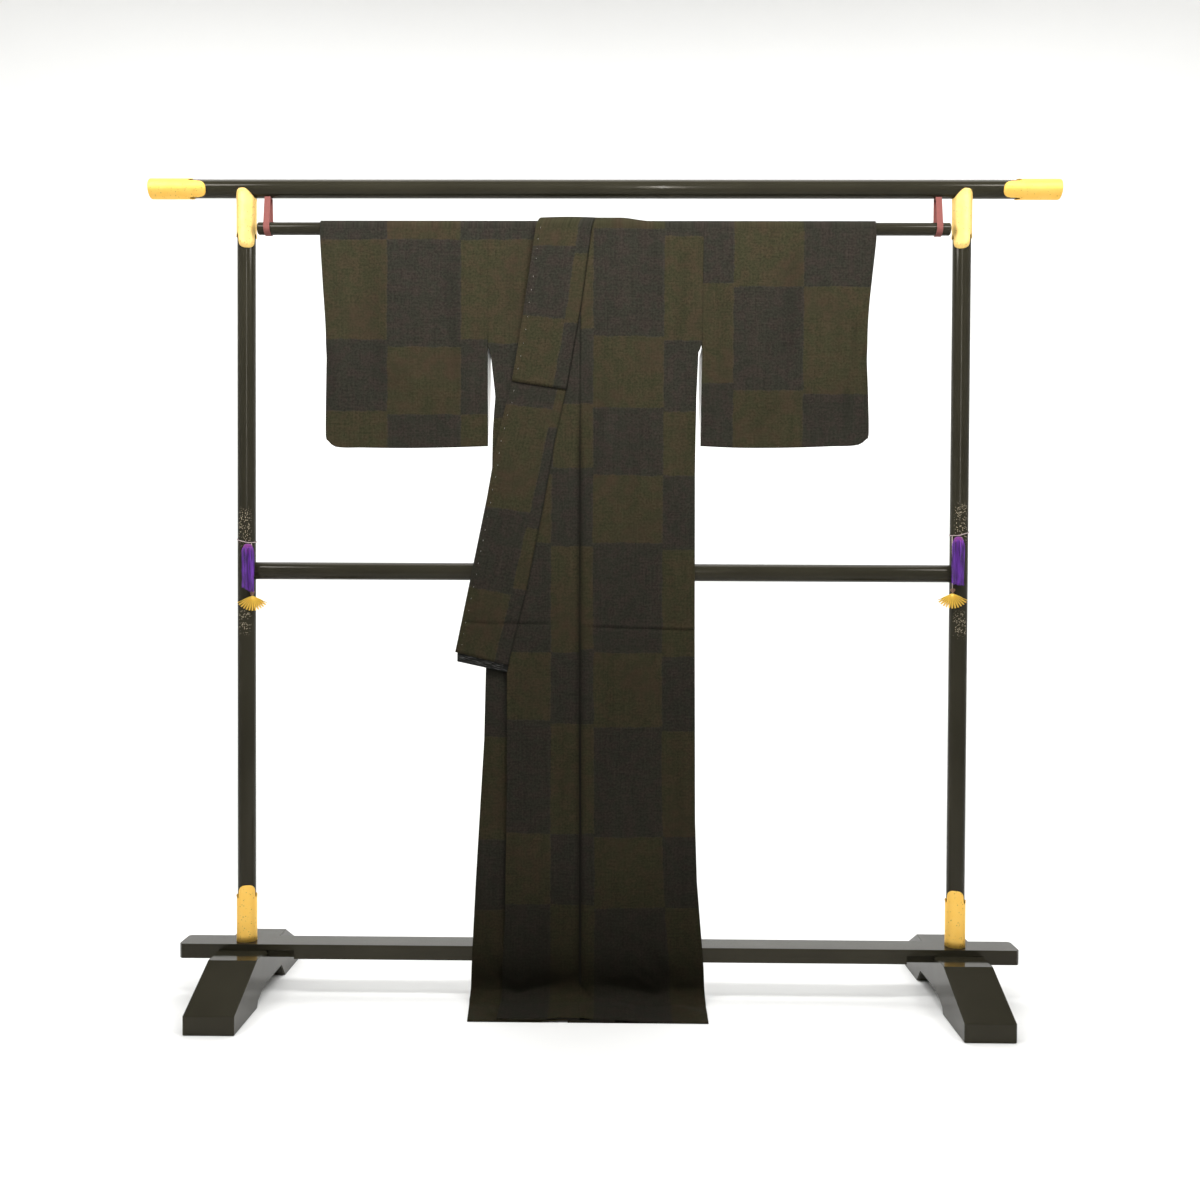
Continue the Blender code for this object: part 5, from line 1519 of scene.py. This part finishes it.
class KIMONO_OT_bars(Operator):
    """Turn the rails, the posts and the hanging rod in black lacquer"""

    bl_idname = "kimono.bars"
    bl_label = "Rails, posts and rod"

    def execute(self, context):
        stand = context.scene.kimono_stand
        lacquer = lacquer_finish("lacquer_black", stand)
        reach, cope = POST_RADIUS + GAP, RAIL_RADIUS + GAP

        def lie(name, node, radius, at_y, at_z, half, ends=0.0):
            """A bar along X, as long to either side as half says for its section."""
            bar = bar_object(name, radius, lambda along, a, b: (along, at_y + a, at_z + b),
                             lambda a, b: -half(a), lambda a, b: half(a), lacquer, stand.sides,
                             ends)
            place(bar, "lacquer", node)

        lie("rail_top", "top_rail", RAIL_RADIUS, 0, RAIL_Z,
            lambda a: STAND_HALF_LENGTH - FITTING_WALL - GAP - RAIL_CLEAR)
        lie("rail_middle", "middle_rail", MID_RAIL_RADIUS, 0, MID_RAIL_Z,
            lambda a: POST_X - math.sqrt(reach ** 2 - a ** 2))
        lie("rod", "hanging_rod", ROD_RADIUS, ROD_Y, ROD_Z, lambda a: ROD_HALF_LENGTH,
            ROD_ROUNDING)
        for name, side, bands in FLECKED:
            post = bar_object(f"upright_{name}", POST_RADIUS,
                              lambda along, a, b, side=side: (side * POST_X + a, b, along),
                              lambda a, b: PLANK_TOP + GAP,
                              lambda a, b: RAIL_Z - math.sqrt(max(cope ** 2 - b ** 2, 0.0)),
                              lacquer_finish(f"lacquer_flecked_{name}", stand, bands),
                              stand.sides)
            place(post, "lacquer", f"post_{name}")
        for name in ("base_plank", "foot_left", "foot_right"):
            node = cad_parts[name]
            for slot in node.material_slots:
                slot.material = lacquer
        return {"FINISHED"}


FITTING_SIDES = 144
FITTING_SHARES = (*steps(0.0, 0.9, 0.12), 0.95, 0.975, 1.0)
FITTING_BEAD = 0.0005       # how far the rims of a fitting swell
HEAD_CLEAR = RAIL_RADIUS + 3 * GAP + FITTING_WALL / 2
CAP_BEVEL = 0.0022
CAP_ROWS = (            # share of the way to the end, share of the radius, depth from the end
    (0.0, 1.0, 0), (0.04, 1.015, 0), (0.08, 1.0, 0), (0.3, 1.0, 0), (0.6, 1.0, 0),
    (0.9, 1.0, 0), (1.0, 1.0, CAP_BEVEL), (1.0, 0.985, 0.0010), (1.0, 0.95, 0.0002),
    (1.0, 0.90, 0.0), (1.0, 0.80, 0.0004), (1.0, 0.40, 0.0006),
)


def saddle(share):
    """Reach of the tongue over the rail: round, with its inner side cut away aslant."""
    if share > 0.0:
        return max(1 - (share / 1.08) ** 4, 0.0)
    cut = max(1 - (max(-share - 0.05, 0.0) / 1.05) ** 1.5, 0.0)
    return cut * smooth_step((1.1 + share) * 9)


def bead(share):
    """Swelling of a fitting's two rims."""
    return FITTING_BEAD * (smooth_step((share - 0.955) / 0.02) + smooth_step((0.05 - share) / 0.05))


def foot_point(side, turn, share):
    """A point of the sleeve round the foot of a post."""
    x, y = math.sin(turn), -math.cos(turn)
    radius = BOTTOM_FITTING_RADIUS + bead(share)
    reach = lobe(math.atan2(x, -y) + side * TONGUE_LEAN)
    top = mix(BOTTOM_FITTING_EDGE, BOTTOM_FITTING_TONGUE, reach)
    return (side * POST_X + radius * x, radius * y, mix(PLANK_TOP + GAP, top, share))


def head_point(side, turn, share):
    """A point of the sleeve round the head of a post, which hugs the rail."""
    x, y = math.sin(turn), -math.cos(turn)
    radius = TOP_FITTING_RADIUS + bead(share)
    reach = lobe(math.atan2(x, -y) + side * TONGUE_LEAN)
    low = mix(TOP_FITTING_EDGE, TOP_FITTING_TONGUE, reach)
    rise = saddle(side * TOP_FITTING_RADIUS * x / TONGUE_HALF_WIDTH)
    z = mix(low, mix(RAIL_Z - HEAD_CLEAR, RAIL_TONGUE_TIP, rise), share)
    hug = math.sqrt(max(HEAD_CLEAR ** 2 - (RAIL_Z - z) ** 2, 0.0))
    return (side * POST_X + radius * x, math.copysign(max(radius * abs(y), hug), y), z)


def cap_point(side, turn, mark):
    """A point of the cap over an end of the rail."""
    reach, width, drop = mark
    radius = CAP_RADIUS - FITTING_WALL / 2
    end = STAND_HALF_LENGTH - FITTING_WALL / 2
    z = radius * math.sin(turn)
    facing = math.atan2(z, -radius * math.cos(turn))
    edge = mix(CAP_EDGE, CAP_TONGUE, lobe(facing + TONGUE_LEAN))
    x = mix(edge, end - CAP_BEVEL, reach) if reach < 1 else end - drop
    return (side * x, radius * math.cos(turn) * width, RAIL_Z + z * width)


class KIMONO_OT_fittings(Operator):
    """Wrap the gilt fittings round the posts and over the ends of the top rail"""

    bl_idname = "kimono.fittings"
    bl_label = "Gilt fittings"

    def execute(self, context):
        stand = context.scene.kimono_stand
        gilt = gilt_finish("gilt_engraved", stand.gilt)
        pale = gilt_finish("gilt_engraved_pale", warmer(stand.gilt, 1.12, 1.75))
        kinds = (("foot", "fitting_bottom", gilt, foot_point, FITTING_SHARES, ()),
                 ("head", "fitting_top", pale, head_point, FITTING_SHARES, ()),
                 ("cap", "end_cap", gilt, cap_point, CAP_ROWS, (-1,)))
        turns = circle(FITTING_SIDES, 0.5)
        for name, side in (("left", -1), ("right", 1)):
            for label, node, metal, point, marks, caps in kinds:
                rows = [[point(side, turn, mark) for turn in turns] for mark in marks]
                made = woven(f"gilt_{label}_{name}", rows, metal, wall=FITTING_WALL, tube=True,
                             caps=caps)
                place(made, "gilt", f"{node}_{name}")
        return {"FINISHED"}


STRAP_COLUMNS = (-1.0, -0.9, -0.5, 0.0, 0.5, 0.9, 1.0)


class KIMONO_OT_straps(Operator):
    """Hang the tape loops that carry the rod"""

    bl_idname = "kimono.straps"
    bl_label = "Rod straps"

    def path(self):
        """Depths and heights of a loop: over the rail's underside, and round the rod."""
        under = RAIL_RADIUS + GAP + STRAP_WALL / 2
        around = ROD_RADIUS + GAP + STRAP_WALL / 2
        top = [(y, RAIL_Z - math.sqrt(under ** 2 - y ** 2))
               for y in steps(-STRAP_TOP_HALF, STRAP_TOP_HALF, 0.002)]
        ends = []
        for turn, (y, z) in ((-1, top[-1]), (1, top[0])):
            seen = (y - ROD_Y, z - ROD_Z)
            ends.append(math.atan2(seen[1], seen[0]) + turn * touch_angle(seen, around))
        wrap = [(ROD_Y + around * math.cos(angle), ROD_Z + around * math.sin(angle))
                for angle in steps(ends[0], ends[1] - 2 * math.pi, math.pi / 24)]

        def straight(start, end):
            return [(mix(start[0], end[0], share), mix(start[1], end[1], share))
                    for share in steps(0.0, 1.0, 0.1)[1:-1]]

        return top + straight(top[-1], wrap[0]) + wrap + straight(wrap[-1], top[0])

    def execute(self, context):
        tape = strap_finish(context.scene.kimono_ornaments)
        path = self.path()
        for name, x, skew in zip(("left", "right"), STRAP_X, STRAP_SKEW):
            rows = []
            for y, z in path:
                leans = skew * (z - ROD_Z) / (RAIL_Z - ROD_Z)
                rows.append([(x + leans + STRAP_WIDTH * share / 2, y, z)
                             for share in STRAP_COLUMNS])
            made = woven(f"tape_{name}", rows, tape, 60, STRAP_WALL, ring=True)
            place(made, "strap", f"rod_strap_{name}")
        return {"FINISHED"}


# A strand arches out of the head and then hangs: share of its reach, share of its length.
STRAND = ((0.30, 0.000), (0.58, 0.012), (0.80, 0.040), (0.94, 0.085), (1.00, 0.16),
          (1.00, 0.30), (0.99, 0.50), (1.00, 0.70), (0.99, 0.85), (1.00, 1.0))
STRAND_RADII = (0.00050, 0.00062)
STRAND_UNEVEN = 0.0055      # how much shorter the shortest strands are
STRAND_BOW = 0.0006
STRAND_ARCH = 0.0085
STRAND_START = 0.0010       # where the strands leave the tassel's top
SHOULDER = 0.0090           # how much lower the outer strands come out
GOLDEN_TURN = math.pi * (3 - math.sqrt(5))
PALE_FROM = 0.0265          # the tassel's top is paler between these drops
PALE_TO = 0.0060
HEAD_TOP = 0.0012
HEAD_WIDTH = 0.68           # share of the tassel's width
HEAD_RIDGE = 0.045
HEAD_RIDGES = 8


class KIMONO_OT_tassels(Operator):
    """Make the tassels from single strands under a bound head"""

    bl_idname = "kimono.tassels"
    bl_label = "Tassels"

    def execute(self, context):
        ornament = context.scene.kimono_ornaments
        bound = thread_finish("tassel_binding", tint(ornament.head, 0.55), 0.45, 9000.0)
        for piece in ORNAMENTS:
            name, top = piece["name"], ornament_places(piece)[1]
            silk = thread_finish(f"tassel_silk_{name}", ornament.tassel, top=ornament.head,
                                 fade=(top.z - PALE_FROM, top.z - PALE_TO))
            place(self.skirt(piece, top, ornament.strands, silk), "tassel", f"tassel_{name}")
            place(self.head(name, top, bound), "tassel")
        return {"FINISHED"}

    def skirt(self, piece, top, count, silk):
        """The strands, spread evenly over the tassel's section."""
        draw = random.Random(11 if piece["side"] < 0 else 23)
        bm = bmesh.new()
        for index in range(count):
            reach = math.sqrt((index + 0.5) / count)
            turn = index * GOLDEN_TURN
            end = (TASSEL_LENGTH - draw.uniform(0.0, STRAND_UNEVEN)
                   - piece["slant"] * (1 - math.sin(turn)))
            bow = draw.uniform(-STRAND_BOW, STRAND_BOW)
            thick = draw.uniform(*STRAND_RADII)
            arch = STRAND_ARCH * (1.15 - reach)
            loops = []
            for out, drop in STRAND:
                fall = mix(STRAND_START, end, drop) + arch * (1 - out) * 0.12
                fall += SHOULDER * (1 - (1 - reach ** 2) ** 0.5) * min(out, 1.0) * (1 - drop)
                wide = 0.94 * reach * (out - 0.05 * drop)
                x = top.x + TASSEL_HALF_WIDTH * wide * math.sin(turn)
                y = top.y + TASSEL_HALF_DEPTH * wide * math.cos(turn)
                x += bow * math.sin(drop * 5 + index)
                y += bow * math.cos(drop * 4 + index)
                z = top.z - min(fall, TASSEL_LENGTH)
                loops.append([(x + thick * math.sin(corner + turn),
                               y + thick * math.cos(corner + turn), z) for corner in circle(4)])
            weave_rows(bm, loops, tube=True, caps=BOTH_ENDS)
        return mesh_object(f"tassel_strands_{piece['name']}", bm, silk, angle=60)

    def head(self, name, top, bound):
        """The ball of the head, with the ridges of its binding."""
        rows = []
        for share in steps(0.0, 1.0, 1 / 40):
            across = HEAD_WIDTH * math.sin(math.pi * min(max(share, 0.001), 0.999)) ** 0.75
            ridge = 1 + HEAD_RIDGE * math.sin(share * math.pi * 2 * HEAD_RIDGES)
            z = top.z - HEAD_TOP - HEAD_HALF_HEIGHT * (1 - math.cos(math.pi * share))
            rows.append([(top.x + TASSEL_HALF_WIDTH * across * ridge * math.sin(turn),
                          top.y + TASSEL_HALF_DEPTH * across * ridge * math.cos(turn), z)
                         for turn in circle(32)])
        return woven(f"tassel_head_{name}", rows, bound, 60, tube=True, caps=BOTH_ENDS)


class KIMONO_OT_body(Operator):
    """Hang the two lengths of the body and their overlap pieces"""

    bl_idname = "kimono.body"
    bl_label = "Body and overlaps"

    def execute(self, context):
        cloth = context.scene.kimono_cloth
        for name, side in (("body_left", 1), ("body_right", -1)):
            made = panel(name, body_rows(side, cloth), cloth)
        for name, left in (("okumi_left", True), ("okumi_right", False)):
            made = panel(name, okumi_rows(left, cloth), cloth)
        return {"FINISHED"}


COLLARS = (     # name, ends, levels in front, places behind the rod, flat size, stitch heights
    ("collar", (LEFT_COLLAR_END, RIGHT_COLLAR_END), (LEVEL_LEFT_FRONT, LEVEL_RIGHT_FRONT),
     (BEHIND_LEFT_COLLAR, BEHIND_RIGHT_COLLAR), (0.112, 2.00),
     (1.211, 1.188, 1.163, 1.137, 1.112, 1.088, 1.064, 1.041, 1.016, 0.990, 0.962, 0.936,
      0.915, 0.894, 0.870, 0.848, 0.823, 0.800, 0.776, 0.752, 0.730, 0.708)),
    ("over_collar", (OVER_COLLAR_END, OVER_COLLAR_END),
     (LEVEL_LEFT_OVER_COLLAR, LEVEL_RIGHT_OVER_COLLAR),
     (BEHIND_LEFT_OVER_COLLAR, BEHIND_RIGHT_OVER_COLLAR), (0.112, 0.80),
     (1.531, 1.509, 1.490, 1.4705, 1.4354, 1.409, 1.384, 1.356, 1.331, 1.304, 1.279, 1.254)),
)
STITCH_IN = 0.0095          # how far in from the edge the stitches run
STITCH_HALVES = (0.0008, 0.0017)
STITCH_STRAY = 0.0012
STITCH_RISE = 0.00040
STITCH_HALF_WIDTH = 0.0004
STITCH_HALF_DEPTH = 0.0003


class KIMONO_OT_collars(Operator):
    """Sew on the collar, the cover of its upper part, and their basting stitches"""

    bl_idname = "kimono.collars"
    bl_label = "Collars"

    def execute(self, context):
        cloth = context.scene.kimono_cloth
        thread = thread_finish("basting_thread", cloth.thread, 0.7)
        for name, ends, levels, behind, flat, heights in COLLARS:
            made = panel(name, collar_rows(name, ends, levels, behind, cloth), cloth)
            stitches = self.basting(f"basting_{name}", heights, levels[0], thread, cloth)
            place(stitches, "cord")
        return {"FINISHED"}

    def basting(self, name, heights, level, thread, cloth):
        """Short running stitches that lie on the band beside its outer edge."""
        draw = random.Random(len(heights))
        bm = bmesh.new()
        for z in heights:
            x = read_table(COLLAR_EDGE, z) + STITCH_IN
            px, py, pz = front_point(x, z, level, cloth.crease)
            lean = (read_table(COLLAR_EDGE, z + 0.01) - read_table(COLLAR_EDGE, z - 0.01)) / 0.02
            half = draw.uniform(*STITCH_HALVES)
            px += draw.uniform(-STITCH_STRAY, STITCH_STRAY)
            rows = []
            for share in (-1.0, -0.8, -0.4, 0.0, 0.4, 0.8, 1.0):
                dz = half * share
                front = py - cloth.wall / 2 - STITCH_RISE * (1 - share ** 4)
                width = STITCH_HALF_WIDTH * (1 - 0.5 * share ** 6)
                rows.append([(px + lean * dz + width * math.cos(turn),
                              front - STITCH_HALF_DEPTH * math.sin(turn), pz + dz)
                             for turn in circle(6)])
            weave_rows(bm, rows, tube=True, caps=BOTH_ENDS)
        return mesh_object(name, bm, thread, angle=60)


LINING_TOP = 1.300
LINING_BOTTOM = 1.120
LINING_LAST_Z = 1.122       # its last row
LINING_FADE = 0.02
LINING_PROUD = 0.0042       # how far the lining's edge stands out past the sleeve's
LINING_WIDTH = 0.05
LINING_WALL = 0.0005
LINING_INSIDE = 0.0010      # how far it lies before the rear wall, and the least of it
LINING_LEAST = 0.0009
SLEEVE_BOTTOM = 1.1040


class KIMONO_OT_sleeves(Operator):
    """Hang the sleeves, with the pale lining that shows at their open inner edges"""

    bl_idname = "kimono.sleeves"
    bl_label = "Sleeves"

    def execute(self, context):
        cloth = context.scene.kimono_cloth
        pale = lining_finish(cloth)
        for piece in SLEEVES:
            made = panel(piece["name"], sleeve_rows(piece, cloth), cloth, ring=True)
            strip = place(self.lining(piece, cloth, pale), "silk")
        return {"FINISHED"}

    def lining(self, piece, cloth, pale):
        """The lining's edge: inside the rear wall, and a little proud of it towards the body."""
        outward = 1 if piece["outer"][0][1] > 0 else -1
        rows = []
        for z in steps(LINING_TOP, LINING_LAST_Z, cloth.step):
            inner = read_table(piece["inner"], z)
            proud = (LINING_PROUD * smooth_step((LINING_TOP - z) / LINING_FADE)
                     * smooth_step((z - LINING_BOTTOM) / LINING_FADE))
            drop = (ROD_Z - z) / (ROD_Z - SLEEVE_BOTTOM)
            row = []
            for share in (0.0, 0.04, 0.1, 0.2, 0.4, 0.7, 1.0):
                x = mix(inner - outward * proud, inner + outward * LINING_WIDTH, share)
                middle, moved, half = sleeve_section(piece, x, z, drop, 0.0, abs(x - inner),
                                                     cloth.crease)
                row.append((x, min(middle - moved + half - LINING_INSIDE,
                                   middle + half - LINING_LEAST), z))
            rows.append(row)
        return woven(f"lining_{piece['name']}", rows, pale, 70, LINING_WALL)


LAMPS = (       # name, place, what it faces, width, height, power
    ("lamp_left", (-1.5, -1.0, 2.35), (-0.3, 0.0, 1.8), 1.0, 0.4, 19.5),
    ("lamp_right", (1.5, -1.0, 2.35), (0.3, 0.0, 1.8), 1.0, 0.4, 19.5),
    ("lamp_front", (0.0, -1.0, 2.3), (0.0, 0.0, 1.75), 1.8, 0.4, 30.0),
    ("lamp_above", (0.0, 0.5, 3.4), (0.0, 0.3, 0.0), 3.2, 1.6, 44.0),
    ("lamp_behind", (0.0, 2.2, 3.6), (0.0, 3.8, 0.6), 4.0, 1.2, 80.0),
    ("lamp_strip", (0.25, -3.3, 1.9), (0.0, 0.0, 1.2), 0.05, 1.5, 14.0),
    ("lamp_wall", (0.0, 1.6, 2.2), (0.0, 4.8, 3.1), 3.6, 0.8, 40.0),
)
DULL_LAMPS = ("lamp_front", "lamp_wall")        # lamps that leave no glint
SKY = (1.0, 0.995, 0.98, 1.0)
FLOOR_RADII = (0.0001, 1.0, 2.0, 3.0, 3.6)
FLOOR_CURVE = 1.2           # radius of the turn between the floor and its backdrop
WALL_HEIGHTS = (2.0, 3.0, 4.2, 5.8)


class KIMONO_OT_stage(Operator):
    """Set the pale floor with its curved backdrop, and the soft lights"""

    bl_idname = "kimono.stage"
    bl_label = "Floor and lights"

    def execute(self, context):
        stage = context.scene.kimono_stage
        context.scene.view_settings.view_transform = "Standard"
        self.floor(stage)
        world = bpy.data.worlds.new("soft_light")
        world.use_nodes = True
        sky = world.node_tree.nodes["Background"]
        sky.inputs["Color"].default_value = SKY
        sky.inputs["Strength"].default_value = stage.daylight
        context.scene.world = world
        for name, spot, aim, width, height, power in LAMPS:
            data = bpy.data.lights.new(name, "AREA")
            data.shape = "RECTANGLE"
            data.size = width
            data.size_y = height
            data.energy = power * stage.lamp
            lamp = add_object(name, data)
            lamp.location = spot
            lamp.rotation_euler = (Vector(aim) - Vector(spot)).to_track_quat("-Z", "Y").to_euler()
            lamp.visible_camera = False
            lamp.visible_glossy = name not in DULL_LAMPS
        return {"FINISHED"}

    def floor(self, stage):
        """A round floor that curves up into a wall."""
        board = Finish("paper_floor", {"Specular IOR Level": 0.1})
        grain = board.noise(board.spot(), 1.5)
        paper = board.done(board.blend(grain, tint(stage.floor, 0.985), stage.floor), 0.7)
        reach = FLOOR_RADII[-1]
        profile = [(radius, 0.0) for radius in FLOOR_RADII]
        profile += [(reach + FLOOR_CURVE * math.sin(turn), FLOOR_CURVE - FLOOR_CURVE
                     * math.cos(turn)) for turn in steps(0.0, math.pi / 2, math.pi / 24)[1:]]
        profile += [(reach + FLOOR_CURVE, height) for height in WALL_HEIGHTS]
        rows = [[(radius * math.cos(turn), radius * math.sin(turn), height)
                 for turn in circle(96)] for radius, height in profile]
        return woven("floor", rows, paper, 80, tube=True)


STEPS_OF_WORK = (KIMONO_OT_camera, KIMONO_OT_cords, KIMONO_OT_bars, KIMONO_OT_fittings,
                 KIMONO_OT_straps, KIMONO_OT_tassels, KIMONO_OT_body, KIMONO_OT_collars,
                 KIMONO_OT_sleeves, KIMONO_OT_stage)


class KIMONO_PT_sidebar(Panel):
    """Settings and steps of the kimono and its stand."""

    bl_idname = "KIMONO_PT_sidebar"
    bl_label = "Kimono"
    bl_space_type = "VIEW_3D"
    bl_region_type = "UI"
    bl_category = "Kimono"

    def draw(self, context):
        for name, group in SETTINGS:
            box = self.layout.box()
            box.label(text=name.removeprefix("kimono_").title())
            for key in group.__annotations__:
                box.prop(getattr(context.scene, name), key)
        for step in STEPS_OF_WORK:
            self.layout.operator(step.bl_idname)


SETTINGS = (("kimono_cloth", KimonoClothSettings), ("kimono_stand", KimonoStandSettings),
            ("kimono_ornaments", KimonoOrnamentSettings), ("kimono_stage", KimonoStageSettings))
CLASSES = (*(group for _, group in SETTINGS), *STEPS_OF_WORK, KIMONO_PT_sidebar)


def register():
    for item in CLASSES:
        bpy.utils.register_class(item)
    for name, group in SETTINGS:
        setattr(bpy.types.Scene, name, PointerProperty(type=group))


def unregister():
    for name, _ in SETTINGS:
        delattr(bpy.types.Scene, name)
    for item in reversed(CLASSES):
        bpy.utils.unregister_class(item)


def main():
    register()
    for step in STEPS_OF_WORK:
        area, verb = step.bl_idname.split(".")
        getattr(getattr(bpy.ops, area), verb)()


if __name__ == "__main__":
    main()
